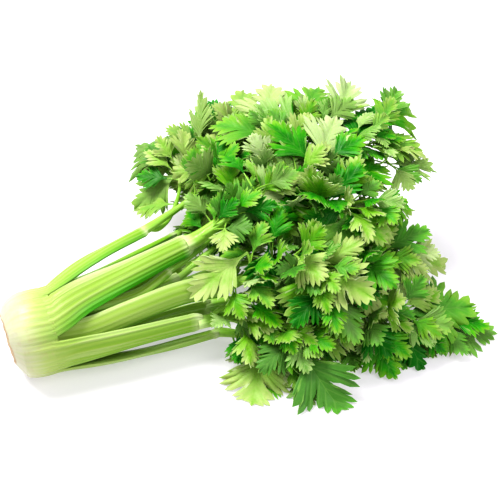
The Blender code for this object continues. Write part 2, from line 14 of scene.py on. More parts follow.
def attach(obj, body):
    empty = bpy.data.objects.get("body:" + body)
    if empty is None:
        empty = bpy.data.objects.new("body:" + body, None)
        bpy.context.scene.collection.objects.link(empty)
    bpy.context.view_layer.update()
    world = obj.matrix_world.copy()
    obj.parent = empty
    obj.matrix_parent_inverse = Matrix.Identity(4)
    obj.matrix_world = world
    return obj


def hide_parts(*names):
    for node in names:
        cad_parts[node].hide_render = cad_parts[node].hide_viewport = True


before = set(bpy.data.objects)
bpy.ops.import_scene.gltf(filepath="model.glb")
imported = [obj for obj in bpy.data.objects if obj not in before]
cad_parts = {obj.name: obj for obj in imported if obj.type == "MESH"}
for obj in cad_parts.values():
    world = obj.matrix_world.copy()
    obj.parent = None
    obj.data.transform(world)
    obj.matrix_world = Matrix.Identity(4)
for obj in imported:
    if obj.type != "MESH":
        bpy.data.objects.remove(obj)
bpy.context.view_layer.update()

# The butt, as in the part
AXIS_HEIGHT = 0.0445
BUTT_SEAM_ANGLE = 1.2

# The stalks, as in the part
FOOT_X = 0.013
OUTER_RING = 0.044
INNER_RING = 0.033
OUTER_WALL = 0.009
INNER_WALL = 0.0075
EDGE_THINNING = 0.5
RIBS = 5
RIB_DEPTH = 0.0008
INNER_FACE_POINTS = 4
STALK_STATIONS = 7
HEART_RADIUS = 0.007
HEART_SIDES = 8
JOINT_GAP = 0.0003

# The leaf stems, as in the part
STEM_CLEARANCE = 0.0008
TRUNK_STEP = 0.030
BEAD_STEP = 0.002
HUB_RADIUS = 0.0014
TWIG_RADIUS = 0.0018
# The straight start of a leaf stem, in its own radii
SHOULDER = 0.8
# A twig beside its trunk: how far before the nearest point it leaves, how far it bows forwards, how thick
FORK_LEAD = 0.6
FORK_BOW = 0.25
FORK_WIDTH = 0.8

# The plain leaflets, as in the part, which settle where each leaflet lies: x along the midrib, y across
LEAF_THICKNESS = 0.0008
LEAF_CLEARANCE = 0.0010
MIDRIB = (0.0, 0.32, 0.66, 1.0)
LEAFLET_STALK = 0.15
# Side veins that end at a tooth or a notch of the edge: start on the midrib, angle from it, length
VEINS = (
    (0.17, 66, 0.060),
    (0.23, 66, 0.370),
    (0.28, 61, 0.285),
    (0.35, 55, 0.500),
    (0.45, 46, 0.190),
    (0.59, 40, 0.370),
    (0.69, 30, 0.210),
)
LEAF_WIDTH = 0.95
LEAF_SCALE = 1.22
FLOOR = 0.0011
FLOOR_SOFTNESS = 0.005
# Each leaflet of a spray: its angle from the middle one, its size beside it, how far back it leaves the twig
SPRAY_PLAN = ((0, 1.0, 0.0), (68, 0.84, 0.004), (-68, 0.84, 0.008))
LEAF_MASS_CENTRE = Vector((0.27, 0.02, 0.04))
ROOT_DEPTH = 0.0012
OWN_HUB = 0.009
# How far any point of a leaflet can be from its root, in its own lengths
LEAF_REACH = 1.3
OUTWARD_RISE = 0.5
# A leaflet that meets another is tried again, turned further and a little shorter; its turns are in degrees
LEAF_TRIES = 40
LEAF_TURN = 14
LEAF_ROLL = 22
FIRST_LOOSENESS = 0.35
LOOSER = 0.07
SHORTER = 0.011
# What differs from leaflet to leaflet, from least to most
LENGTHS = (0.94, 1.06)
FOLDS = (0.05, 0.30)
DROOPS = (0.15, 0.75)
CURLS = (0.05, 0.55)
WAVES = (0.02, 0.10)
WAVE_RATE = 9

# The fine leaflets: each side vein's start on the midrib, the edge point where it ends, and its number.
# Whole numbers end at a tooth, and the numbers between them at a notch or on a smooth stretch of the edge.
STALK_VEINS = ((0.00, 0.004, 0.020, 0.5), (0.08, 0.083, 0.015, 0.5), (0.13, 0.137, 0.018, 0.5))
TOOTH_VEINS = (
    (0.150, 0.175, 0.028, 0.50),
    (0.165, 0.260, 0.078, 0.55),
    (0.180, 0.350, 0.150, 0.60),
    (0.200, 0.415, 0.235, 0.80),
    (0.215, 0.450, 0.345, 1.0),
    (0.235, 0.490, 0.295, 1.5),
    (0.250, 0.565, 0.430, 2.0),
    (0.265, 0.580, 0.330, 2.5),
    (0.285, 0.685, 0.450, 3.0),
    (0.300, 0.660, 0.320, 3.5),
    (0.320, 0.755, 0.350, 4.0),
    (0.340, 0.670, 0.225, 4.2),
    (0.370, 0.545, 0.085, 4.4),
    (0.430, 0.650, 0.125, 4.6),
    (0.470, 0.785, 0.245, 5.0),
    (0.520, 0.785, 0.165, 5.5),
    (0.580, 0.900, 0.215, 6.0),
    (0.660, 0.875, 0.120, 6.5),
    (0.760, 0.985, 0.125, 7.0),
    (0.860, 0.955, 0.045, 7.5),
    (0.960, 1.030, 0.006, 8.0),
)
SINUS_VEIN = 4.4
STEPS_PER_VEIN = 2
STEPS_ACROSS = 8
FILLER_STEPS_ACROSS = 4
ACROSS_POWER = 1.35
TOOTH_BULGE = 0.10
NOTCH_DEPTH = 0.13
LEAF_STEPS = STEPS_PER_VEIN * (len(STALK_VEINS) + len(TOOTH_VEINS) - 1)
FINE_THICKNESS = 0.0006
# How high a leaflet bulges between its side veins, in its own lengths, and how its halves' ruffles differ
QUILTING = 0.0025
OTHER_HALF_SHIFT = 1.3

# The leaflets that fill the gaps between the sprays, each tried at every so many beads of a leaf stem
FILLER_ROUNDS = 7
FILLER_SPACING = 6
FILLER_TRIES = 14
FILLER_SEED = 9000
FILLER_FROM_X = 0.185
# How near a spray's leaflet the tip of each has to be, and how high it may be
FILLER_REACH = 0.021
FILLER_TOP = 0.179
LEAF_MASS_AXIS = Vector((0.30, 0.03, 0.06))
# How strongly each follows its stem and leans away from the axis, and how much shorter each try is
FILLER_LEAN = 0.7
FILLER_SHORTER = 0.02
# What differs from one to the next, from least to most
FILLER_FACES = ((-0.7, 0.5), (-1.1, 0.4))
FILLER_ROOTS = (0.004, 0.016)
FILLER_LENGTHS = (0.036, 0.058)
FILLER_FOLDS = (0.05, 0.35)
FILLER_DROOPS = (0.1, 0.9)
FILLER_CURLS = (0.05, 0.6)
FILLER_WAVES = (0.02, 0.10)
# Its own stem: the most that its radius may be, the radius at the leaflet, its bow, how far it runs on there
FILLER_STEM_RADIUS = 0.0012
FILLER_STEM_TIP = 0.0007
FILLER_STEM_BOW = 0.001
FILLER_STEM_INSET = 0.004

Stalk = namedtuple("Stalk", "ring angle share way widths curls wall")
Trunk = namedtuple("Trunk", "radius points")
Spray = namedtuple("Spray", "hub tip count face")
Leaf = namedtuple("Leaf", "root forward side normal length fold droop curl wave phase")

# Each stalk: its ring, its angle round the head, half its share of the ring, the points that the middle of
# its wall passes after the foot, its width and the half angle that it curls through (half way, then at the
# joint), and how thick its wall is
STALKS = {
    "outer_1": Stalk(OUTER_RING, -22, 17, ((0.066, 0.045, 0.089), (0.128, 0.069, 0.092)),
                     (0.026, 0.020), (50, 70), 0.0075),
    "outer_2": Stalk(OUTER_RING, 28, 31, ((0.047, -0.004, 0.085), (0.101, 0.012, 0.090),
                                          (0.166, 0.025, 0.100)),
                     (0.036, 0.026), (44, 68), OUTER_WALL),
    "outer_3": Stalk(OUTER_RING, 92, 29, ((0.036, -0.040, 0.045), (0.086, -0.039, 0.045),
                                          (0.160, -0.037, 0.045)),
                     (0.033, 0.025), (42, 66), OUTER_WALL),
    "outer_4": Stalk(OUTER_RING, 146, 23, ((0.096, -0.031, 0.014), (0.177, -0.030, 0.017)),
                     (0.027, 0.021), (42, 64), 0.008),
    "outer_5": Stalk(OUTER_RING, 194, 23, ((0.090, 0.010, 0.008), (0.180, 0.012, 0.012)),
                     (0.028, 0.020), (40, 60), 0.008),
    "outer_6": Stalk(OUTER_RING, 243, 24, ((0.090, 0.055, 0.022), (0.170, 0.075, 0.022)),
                     (0.028, 0.020), (42, 62), 0.008),
    "outer_7": Stalk(OUTER_RING, 294, 25, ((0.080, 0.060, 0.055), (0.165, 0.095, 0.055)),
                     (0.026, 0.018), (44, 64), 0.008),
    "inner_1": Stalk(INNER_RING, 0, 26, ((0.091, -0.002, 0.068), (0.140, 0.014, 0.078)),
                     (0.016, 0.014), (50, 66), 0.006),
    "inner_2": Stalk(INNER_RING, 61, 27, ((0.048, -0.0255, 0.0575), (0.093, -0.0230, 0.066),
                                          (0.143, -0.021, 0.074), (0.189, -0.026, 0.078)),
                     (0.028, 0.026), (42, 58), INNER_WALL),
    "inner_3": Stalk(INNER_RING, 118, 24, ((0.111, -0.012, 0.040), (0.175, -0.012, 0.045)),
                     (0.020, 0.016), (45, 62), 0.007),
    "inner_4": Stalk(INNER_RING, 185, 30, ((0.080, 0.015, 0.025), (0.150, 0.035, 0.035)),
                     (0.022, 0.016), (45, 62), 0.007),
    "inner_5": Stalk(INNER_RING, 290, 35, ((0.090, 0.035, 0.062), (0.160, 0.045, 0.070)),
                     (0.022, 0.017), (46, 62), 0.007),
}
HEART_WAY = ((FOOT_X, 0.0, 0.045), (0.080, 0.008, 0.050), (0.150, 0.022, 0.058))
NAMES = [*STALKS, "heart"]

# The leaf stems that go on from each joint: radius at the joint, then the points that each passes
TRUNKS = {
    "outer_1": (
        Trunk(0.0048, ((0.155, 0.080, 0.096), (0.190, 0.094, 0.104), (0.230, 0.112, 0.116))),
        Trunk(0.0030, ((0.148, 0.078, 0.084), (0.172, 0.108, 0.088), (0.192, 0.158, 0.097))),
    ),
    "outer_2": (
        Trunk(0.0078, ((0.195, 0.030, 0.111), (0.240, 0.052, 0.125), (0.290, 0.090, 0.143),
                       (0.322, 0.114, 0.154))),
        Trunk(0.0032, ((0.190, 0.022, 0.114), (0.225, 0.028, 0.129), (0.262, 0.040, 0.138),
                       (0.312, 0.048, 0.150))),
    ),
    "outer_3": (
        Trunk(0.0064, ((0.190, -0.036, 0.042), (0.206, -0.050, 0.034), (0.214, -0.066, 0.028))),
        Trunk(0.0026, ((0.182, -0.032, 0.054), (0.212, -0.034, 0.058), (0.232, -0.056, 0.052),
                       (0.242, -0.090, 0.038))),
    ),
    "outer_4": (
        Trunk(0.0048, ((0.205, -0.044, 0.017), (0.228, -0.070, 0.014), (0.244, -0.100, 0.012))),
    ),
    "outer_5": (
        Trunk(0.0048, ((0.230, -0.012, 0.014), (0.290, -0.056, 0.015), (0.345, -0.078, 0.016),
                       (0.400, -0.082, 0.015))),
    ),
    "outer_6": (
        Trunk(0.0045, ((0.220, 0.095, 0.024), (0.280, 0.105, 0.030), (0.340, 0.090, 0.032))),
    ),
    "outer_7": (
        Trunk(0.0042, ((0.200, 0.125, 0.062), (0.235, 0.165, 0.080), (0.270, 0.194, 0.102))),
    ),
    "inner_1": (
        Trunk(0.0034, ((0.165, 0.022, 0.084), (0.200, 0.045, 0.092), (0.240, 0.095, 0.104),
                       (0.266, 0.125, 0.114))),
    ),
    "inner_2": (
        Trunk(0.0056, ((0.210, -0.026, 0.082), (0.240, -0.026, 0.088), (0.266, -0.046, 0.096),
                       (0.276, -0.076, 0.088))),
    ),
    "inner_3": (
        Trunk(0.0042, ((0.215, -0.022, 0.048), (0.255, -0.044, 0.048), (0.305, -0.070, 0.046),
                       (0.355, -0.088, 0.044))),
    ),
    "inner_4": (
        Trunk(0.0040, ((0.200, 0.036, 0.046), (0.260, 0.016, 0.060), (0.320, -0.020, 0.074),
                       (0.360, -0.042, 0.082))),
    ),
    "inner_5": (
        Trunk(0.0040, ((0.200, 0.046, 0.082), (0.255, 0.034, 0.104), (0.310, 0.008, 0.122),
                       (0.350, -0.004, 0.132))),
    ),
    "heart": (
        Trunk(0.0038, ((0.190, 0.040, 0.068), (0.250, 0.066, 0.092), (0.310, 0.073, 0.121),
                       (0.357, 0.074, 0.146), (0.398, 0.086, 0.149))),
    ),
}

UP = (0.0, -0.1, 1.0)
VIEWER = (-0.25, -0.75, 0.6)
OUTWARD = None
# Each spray: where its leaflets meet, the tip of its middle leaflet, how many leaflets, where its face looks
SPRAYS = {
    "outer_1": (
        Spray((0.228, 0.110, 0.118), (0.172, 0.122, 0.104), 3, (0.0, -0.55, 0.8)),
        Spray((0.192, 0.160, 0.098), (0.154, 0.224, 0.110), 3, (-0.3, -0.2, 0.9)),
        Spray((0.172, 0.106, 0.088), (0.140, 0.126, 0.084), 2, UP),
        Spray((0.214, 0.098, 0.126), (0.190, 0.080, 0.152), 2, (-0.3, -0.7, 0.5)),
    ),
    "outer_2": (
        Spray((0.236, 0.036, 0.146), (0.218, 0.004, 0.118), 2, VIEWER),
        Spray((0.268, 0.040, 0.138), (0.262, -0.012, 0.110), 3, VIEWER),
        Spray((0.322, 0.116, 0.156), (0.352, 0.170, 0.176), 3, UP),
        Spray((0.312, 0.048, 0.152), (0.352, 0.094, 0.170), 3, (0.1, -0.6, 0.8)),
        Spray((0.283, 0.125, 0.140), (0.308, 0.192, 0.164), 3, (0.0, -0.3, 0.9)),
        Spray((0.356, 0.104, 0.158), (0.391, 0.148, 0.168), 3, (0.1, -0.3, 0.9)),
    ),
    "outer_3": (
        Spray((0.241, -0.091, 0.036), (0.259, -0.155, 0.008), 3, VIEWER),
        Spray((0.214, -0.066, 0.028), (0.187, -0.126, 0.010), 2, (-0.3, -0.5, 0.8)),
        Spray((0.250, -0.080, 0.050), (0.300, -0.098, 0.046), 2, (0.0, -0.4, 0.9)),
    ),
    "outer_4": (
        Spray((0.244, -0.100, 0.012), (0.213, -0.158, 0.004), 3, UP),
        Spray((0.229, -0.086, 0.013), (0.184, -0.139, 0.004), 2, UP),
    ),
    "outer_5": (
        Spray((0.401, -0.084, 0.016), (0.456, -0.106, 0.008), 3, UP),
        Spray((0.343, -0.090, 0.016), (0.348, -0.123, 0.006), 3, UP),
        Spray((0.301, -0.076, 0.018), (0.304, -0.109, 0.008), 2, UP),
        Spray((0.371, -0.090, 0.018), (0.382, -0.117, 0.008), 2, UP),
    ),
    "outer_6": (
        Spray((0.262, 0.122, 0.030), (0.262, 0.180, 0.012), 3, OUTWARD),
        Spray((0.340, 0.092, 0.032), (0.388, 0.128, 0.014), 3, OUTWARD),
        Spray((0.350, 0.070, 0.036), (0.412, 0.060, 0.030), 2, OUTWARD),
    ),
    "outer_7": (
        Spray((0.270, 0.195, 0.104), (0.285, 0.239, 0.142), 3, (-0.1, -0.3, 0.9)),
        Spray((0.223, 0.168, 0.084), (0.216, 0.218, 0.112), 3, (-0.2, -0.5, 0.8)),
        Spray((0.290, 0.180, 0.080), (0.342, 0.206, 0.060), 2, OUTWARD),
        Spray((0.220, 0.181, 0.106), (0.227, 0.216, 0.148), 1, (-0.9, -0.5, 0.3)),
    ),
    "inner_1": (
        Spray((0.266, 0.125, 0.116), (0.276, 0.186, 0.136), 3, (-0.2, -0.4, 0.9)),
        Spray((0.238, 0.118, 0.106), (0.236, 0.178, 0.122), 2, (0.0, -0.4, 0.9)),
        Spray((0.214, 0.050, 0.106), (0.186, 0.070, 0.112), 2, (-0.2, -0.4, 0.9)),
    ),
    "inner_2": (
        Spray((0.214, -0.014, 0.104), (0.158, -0.030, 0.094), 2, (-0.1, -0.5, 0.9)),
        Spray((0.238, -0.012, 0.108), (0.222, -0.050, 0.092), 2, VIEWER),
        Spray((0.268, -0.052, 0.100), (0.240, -0.090, 0.082), 3, VIEWER),
        Spray((0.278, -0.078, 0.088), (0.292, -0.122, 0.070), 3, (0.1, -0.5, 0.8)),
        Spray((0.256, -0.038, 0.110), (0.262, -0.080, 0.116), 2, VIEWER),
        Spray((0.276, -0.060, 0.108), (0.296, -0.106, 0.114), 2, VIEWER),
    ),
    "inner_3": (
        Spray((0.300, -0.066, 0.050), (0.348, -0.080, 0.062), 2, (0.0, -0.4, 0.9)),
        Spray((0.357, -0.088, 0.044), (0.432, -0.086, 0.042), 3, (0.1, -0.4, 0.9)),
        Spray((0.316, -0.088, 0.040), (0.322, -0.134, 0.018), 2, VIEWER),
    ),
    "inner_4": (
        Spray((0.360, -0.043, 0.084), (0.415, -0.056, 0.074), 3, (0.2, -0.4, 0.9)),
        Spray((0.318, -0.046, 0.092), (0.318, -0.092, 0.072), 3, VIEWER),
        Spray((0.350, 0.006, 0.080), (0.411, 0.012, 0.070), 3, (0.3, 0.2, 0.9)),
        Spray((0.262, 0.000, 0.078), (0.256, -0.042, 0.070), 2, VIEWER),
    ),
    "inner_5": (
        Spray((0.352, -0.006, 0.134), (0.400, -0.006, 0.122), 3, (0.2, -0.3, 0.9)),
        Spray((0.318, -0.018, 0.136), (0.292, -0.056, 0.112), 3, VIEWER),
        Spray((0.330, 0.024, 0.138), (0.388, 0.040, 0.148), 2, UP),
        Spray((0.272, 0.014, 0.116), (0.268, -0.026, 0.104), 3, VIEWER),
        Spray((0.296, 0.004, 0.138), (0.290, -0.014, 0.168), 2, (-0.4, -0.8, 0.3)),
    ),
    "heart": (
        Spray((0.357, 0.072, 0.148), (0.404, 0.112, 0.158), 3, UP),
        Spray((0.330, 0.090, 0.134), (0.350, 0.150, 0.128), 3, (0.1, 0.3, 0.9)),
        Spray((0.398, 0.056, 0.126), (0.446, 0.050, 0.118), 2, (0.4, -0.2, 0.9)),
        Spray((0.268, 0.080, 0.112), (0.304, 0.056, 0.120), 3, (0.1, -0.5, 0.85)),
        Spray((0.400, 0.088, 0.150), (0.446, 0.132, 0.156), 3, (0.2, -0.2, 0.9)),
        Spray((0.292, 0.088, 0.130), (0.288, 0.090, 0.168), 2, (-0.7, -0.6, 0.3)),
    ),
}


def smooth_way(points, count):
    """`count` places along one smooth curve through the points."""
    points = [Vector(point) for point in points]
    ends = [2 * points[0] - points[1], *points, 2 * points[-1] - points[-2]]
    spans = len(points) - 1
    found = []
    for step in range(count):
        along = spans * step / (count - 1)
        span = min(int(along), spans - 1)
        t = along - span
        a, b, c, d = ends[span:span + 4]
        found.append(0.5 * (2 * b + (c - a) * t + (2 * a - 5 * b + 4 * c - d) * t * t
                            + (3 * b - a - 3 * c + d) * t ** 3))
    return found


def headings(way):
    last = len(way) - 1
    return [(way[min(i + 1, last)] - way[max(i - 1, 0)]).normalized() for i in range(len(way))]


def round_head(angle, radius, x):
    """The point at this angle and distance from the head's axis."""
    turned = math.radians(angle)
    return Vector((x, -math.sin(turned) * radius, AXIS_HEIGHT + math.cos(turned) * radius))


def loft(rings):
    """A closed solid through rings of equally many points."""
    bm = bmesh.new()
    loops = [[bm.verts.new(point) for point in ring] for ring in rings]
    size = len(loops[0])
    for lower, upper in zip(loops, loops[1:]):
        for i in range(size):
            bm.faces.new((lower[i], lower[(i + 1) % size], upper[(i + 1) % size], upper[i]))
    bm.faces.new(loops[0])
    bm.faces.new(loops[-1])
    bm.normal_update()
    bmesh.ops.triangulate(bm, faces=bm.faces[:])
    return bm


def blend(values, along):
    """The value at `along`, from 0 at the foot through half way to 1 at the joint."""
    first, middle, last = values
    if along < 0.5:
        return first + (middle - first) * along * 2
    return middle + (last - middle) * (along * 2 - 1)


def ease(low, high, value):
    """0 below low, 1 above high, and smooth between."""
    part = min(1.0, max(0.0, (value - low) / (high - low)))
    return part * part * (3 - 2 * part)


def stalk_way(name, count=STALK_STATIONS):
    if name == "heart":
        return smooth_way(HEART_WAY, count)
    stalk = STALKS[name]
    foot = round_head(stalk.angle, stalk.ring - stalk.wall / 2, FOOT_X)
    return smooth_way([foot, *stalk.way], count)


def stalk_section(width, curl, wall):
    radius = width / 2 / math.sin(curl)
    outline = []
    ridges = 2 * RIBS
    for i in range(ridges + 1):
        angle = curl * (2 * i / ridges - 1)
        reach = radius - (RIB_DEPTH if i % 2 else 0.0)
        outline.append((reach * math.sin(angle), wall / 2 - radius + reach * math.cos(angle)))
    for i in range(INNER_FACE_POINTS):
        angle = curl * (1 - 2 * i / (INNER_FACE_POINTS - 1))
        here = wall * (1 - EDGE_THINNING * (angle / curl) ** 2)
        reach = radius - here
        outline.append((reach * math.sin(angle), wall / 2 - radius + reach * math.cos(angle)))
    return outline


def stalk_measures(name):
    """Its outward direction, its widths and its curls from foot to joint."""
    stalk = STALKS[name]
    turned = math.radians(stalk.angle)
    share = math.radians(stalk.share)
    widths = (2 * stalk.ring * math.sin(share), *stalk.widths)
    curls = (share, math.radians(stalk.curls[0]), math.radians(stalk.curls[1]))
    return Vector((0.0, -math.sin(turned), math.cos(turned))), widths, curls


def plain_stalk(name):
    way = stalk_way(name)
    rings = []
    if name == "heart":
        for place, heading in zip(way, headings(way)):
            up = (Vector((0, 0, 1)) - Vector((0, 0, 1)).project(heading)).normalized()
            across = heading.cross(up)
            turns = [math.tau * i / HEART_SIDES for i in range(HEART_SIDES)]
            rings.append([place + (across * math.cos(t) + up * math.sin(t)) * HEART_RADIUS for t in turns])
        for point in rings[0]:
            point.x = FOOT_X
        return loft(rings)
    outwards, widths, curls = stalk_measures(name)
    for i, (place, heading) in enumerate(zip(way, headings(way))):
        along = i / (STALK_STATIONS - 1)
        if i == 0:
            heading = Vector((1.0, 0.0, 0.0))
        out = (outwards - outwards.project(heading)).normalized()
        across = heading.cross(out)
        section = stalk_section(blend(widths, along), blend(curls, along), STALKS[name].wall)
        rings.append([place + across * s + out * o for s, o in section])
    return loft(rings)


def flat_leaflet():
    """The plain leaflet, one long, flat and in triangles: both halves share the midrib."""
    bm = bmesh.new()
    spine = [bm.verts.new((x, 0, 0)) for x in MIDRIB]
    for side in (1, -1):
        edge = []
        for start, angle, length in VEINS:
            turned = math.radians(angle)
            x = start + length * math.cos(turned)
            edge.append(bm.verts.new((x, side * LEAF_WIDTH * length * math.sin(turned), 0)))
        loop = edge + spine[::-1]
        bm.faces.new(loop[::-1] if side > 0 else loop)
    bm.normal_update()
    bmesh.ops.triangulate(bm, faces=bm.faces[:])
    bmesh.ops.recalc_face_normals(bm, faces=bm.faces[:])
    return bm


def leaf_point(leaf, x, y, lift=0.0):
    """Where the flat leaflet's point goes: bent down along the midrib, folded, curled and waved across it."""
    bend = leaf.droop * x
    if abs(leaf.droop) > 0.01:
        ahead = math.sin(bend) / leaf.droop
        below = (1 - math.cos(bend)) / leaf.droop
    else:
        ahead, below = x, 0.0
    wave = math.sin(WAVE_RATE * x + leaf.phase)
    lift += abs(y) * math.sin(leaf.fold) - leaf.curl * y * y + leaf.wave * abs(y) * wave
    local = Vector((ahead + lift * math.sin(bend), y * math.cos(leaf.fold), lift * math.cos(bend) - below))
    local *= leaf.length
    place = leaf.root + leaf.forward * local.x + leaf.side * local.y + leaf.normal * local.z
    above = place.z - FLOOR
    place.z = FLOOR + 0.5 * (above + math.sqrt(above * above + FLOOR_SOFTNESS ** 2))
    return place


def face_outwards(bm):
    bmesh.ops.recalc_face_normals(bm, faces=bm.faces[:])
    if bm.calc_volume(signed=True) < 0:
        bmesh.ops.reverse_faces(bm, faces=bm.faces[:])


def thicken(bm, thickness):
    """Gives an open sheet two faces and a rim: the upper face takes finish 0, the lower one finish 1."""
    bm.normal_update()
    for face in bm.faces:
        face.material_index = 1
    lower = [(vert, vert.normal * thickness / 2) for vert in bm.verts]
    raised = bmesh.ops.extrude_face_region(bm, geom=bm.faces[:], use_keep_orig=True)["geom"]
    upper = {tuple(part.co): part for part in raised if isinstance(part, bmesh.types.BMVert)}
    for part in raised:
        if isinstance(part, bmesh.types.BMFace):
            part.material_index = 0
    for low, up in lower:
        upper[tuple(low.co)].co += up
        low.co -= up
    face_outwards(bm)


def plain_leaflet(leaf, flat, thickness, first):
    """The plain leaflet as a thin solid, from `first` along its midrib."""
    bm = flat.copy()
    for vert in bm.verts:
        vert.co = leaf_point(leaf, max(first, vert.co.x), vert.co.y)
    thicken(bm, thickness)
    return bm


def beads(stem):
    """Closely spaced (place, radius) along a stem's straight runs."""
    way, radii = stem
    found = [(way[0], radii[0])]
    for a, b, wide, thin in zip(way, way[1:], radii, radii[1:]):
        steps = max(1, math.ceil((b - a).length / BEAD_STEP))
        for step in range(1, steps + 1):
            part = step / steps
            found.append((a.lerp(b, part), wide + (thin - wide) * part))
    return found


class Layout:
    """Every stem and leaflet of the head, placed by the same seeded tries as in the part."""

    def __init__(self):
        self.flat = flat_leaflet()
        self.stalks = {}
        for name in NAMES:
            bm = plain_stalk(name)
            self.stalks[name] = BVHTree.FromBMesh(bm)
            bm.free()
        self.stems = {name: [] for name in NAMES}
        self.beads = {name: [] for name in NAMES}
        self.hubs = {}
        self.leaves = {name: [] for name in NAMES}
        self.trees = []
        for name in NAMES:
            self.place_trunks(name)
        for name in NAMES:
            self.place_twigs(name)
        self.plain_stems = {name: len(self.beads[name]) for name in NAMES}
        found = [(name, place, radius) for name in NAMES
                 for line in self.beads[name] for place, radius in line]
        self.bead_owners = np.array([NAMES.index(name) for name, _, _ in found])
        self.bead_places = np.array([place for _, place, _ in found])
        self.bead_radii = np.array([radius for _, _, radius in found])
        for rank in range(len(SPRAY_PLAN)):
            for order, name in enumerate(NAMES):
                for number, spray in enumerate(SPRAYS[name]):
                    if rank < spray.count:
                        self.place_leaf(name, number, rank, random.Random(order * 1000 + number * 10 + rank))
        self.plain_leaves = {name: len(self.leaves[name]) for name in NAMES}
        self.spray_trees = [tree for _, tree in self.trees]
        for step in range(FILLER_ROUNDS):
            for order, name in enumerate(NAMES):
                self.place_fillers(name, step, random.Random(FILLER_SEED + order * 100 + step))

    def place_fillers(self, name, step, draw):
        """More leaflets on short stems of their own, wherever there is room along this stalk's leaf stems."""
        for line in self.beads[name][:self.plain_stems[name]]:
            for index in range(step * 2 + 3, len(line), FILLER_SPACING):
                self.place_filler(name, *line[index], line[max(0, index - 2)][0], draw)

    def place_filler(self, name, base, width, before, draw):
        if base.x < FILLER_FROM_X:
            return
        heading = (base - before).normalized()
        away = base - LEAF_MASS_AXIS - Vector((base.x - LEAF_MASS_AXIS.x, 0, 0))
        for attempt in range(FILLER_TRIES):
            aim = Vector([draw.uniform(-1, 1) for _ in range(3)])
            aim = (aim + heading * FILLER_LEAN + away.normalized() * FILLER_LEAN).normalized()
            face = Vector([*(draw.uniform(*limits) for limits in FILLER_FACES), 1.0])
            normal = (face - face.project(aim)).normalized()
            root = base + aim * draw.uniform(*FILLER_ROOTS)
            leaf = Leaf(
                root=root,
                forward=aim,
                side=normal.cross(aim),
                normal=normal,
                length=draw.uniform(*FILLER_LENGTHS) * (1 - FILLER_SHORTER * attempt),
                fold=draw.uniform(*FILLER_FOLDS),
                droop=draw.uniform(*FILLER_DROOPS),
                curl=draw.uniform(*FILLER_CURLS),
                wave=draw.uniform(*FILLER_WAVES),
                phase=draw.uniform(0, math.tau),
            )
            if not self.is_covered(root + aim * leaf.length):
                continue
            if self.keep_if_clear(name, base, leaf, LEAF_THICKNESS):
                thin = min(width * FORK_WIDTH, FILLER_STEM_RADIUS)
                way = [base, (base + root) / 2 + heading * FILLER_STEM_BOW, root + aim * FILLER_STEM_INSET]
                self.stems[name].append((way, [thin, thin * 0.9, FILLER_STEM_TIP]))
                return

    def is_covered(self, place):
        """Whether a filler's tip may lie here: low enough, and close to a leaflet of the sprays."""
        if place.z > FILLER_TOP:
            return False
        return any(tree.find_nearest(place, FILLER_REACH)[0] is not None for tree in self.spray_trees)

    def add_stem(self, name, way, radii):
        self.stems[name].append((way, radii))
        self.beads[name].append(beads((way, radii)))

    def place_trunks(self, name):
        way = stalk_way(name)
        heading = (way[-1] - way[-2]).normalized()
        start = way[-1] + heading * JOINT_GAP
        for radius, points in TRUNKS[name]:
            route = [start, *[Vector(point) for point in points]]
            length = sum((b - a).length for a, b in zip(route, route[1:]))
            count = max(4, round(length / TRUNK_STEP) + 1)
            places = smooth_way(route, count)
            places.insert(1, start + heading * radius * SHOULDER)
            radii = [radius] + [radius + (HUB_RADIUS - radius) * i / (count - 1) for i in range(count)]
            self.add_stem(name, places, radii)

    def place_twigs(self, name):
        """A twig from the nearest trunk to each hub, leaving the trunk forwards."""
        trunks = list(self.beads[name])
        self.hubs[name] = []
        for spray in SPRAYS[name]:
            hub = Vector(spray.hub)
            gap, index, trunk = min(((point - hub).length, i, number) for number, line in enumerate(trunks)
                                    for i, (point, _) in enumerate(line))
            line = trunks[trunk]
            if gap < 2 * HUB_RADIUS:
                self.hubs[name].append(line[:index + 1])
                continue
            first = max(0, index - round(FORK_LEAD * gap / BEAD_STEP))
            start, wide = line[first]
            heading = (line[min(first + 1, len(line) - 1)][0] - start).normalized()
            middle = (start + hub) / 2 + heading * gap * FORK_BOW
            width = min(TWIG_RADIUS, wide * FORK_WIDTH)
            self.add_stem(name, [start, middle, hub], [width, (width + HUB_RADIUS) / 2, HUB_RADIUS])
            self.hubs[name].append(line[:first] + self.beads[name][-1])

    def keep_if_clear(self, name, start, leaf, thickness):
        """Adds the leaflet if it touches nothing that is there already, and says whether it did."""
        bm = plain_leaflet(leaf, self.flat, thickness, LEAFLET_STALK)
        tree = BVHTree.FromBMesh(bm)
        bm.free()
        if not self.leaf_is_clear(name, start, leaf, tree):
            return False
        self.leaves[name].append(leaf)
        self.trees.append((leaf, tree))
        return True

    def leaf_is_clear(self, name, start, leaf, tree):
        """Whether it stays off every stalk, leaf stem and leaflet; its own stem may touch its root."""
        if any(tree.overlap(stalk) for stalk in self.stalks.values()):
            return False
        gaps = np.linalg.norm(self.bead_places - np.array(leaf.root), axis=1)
        near = gaps < LEAF_REACH * leaf.length
        own = self.bead_owners == NAMES.index(name)
        near &= ~(own & (np.linalg.norm(self.bead_places - np.array(start), axis=1) < OWN_HUB))
        for number in np.flatnonzero(near):
            reach = self.bead_radii[number] + STEM_CLEARANCE
            if tree.find_nearest(Vector(self.bead_places[number]), reach)[0] is not None:
                return False
        return not any((other.root - leaf.root).length < LEAF_REACH * (other.length + leaf.length)
                       and tree.overlap(other_tree) for other, other_tree in self.trees)

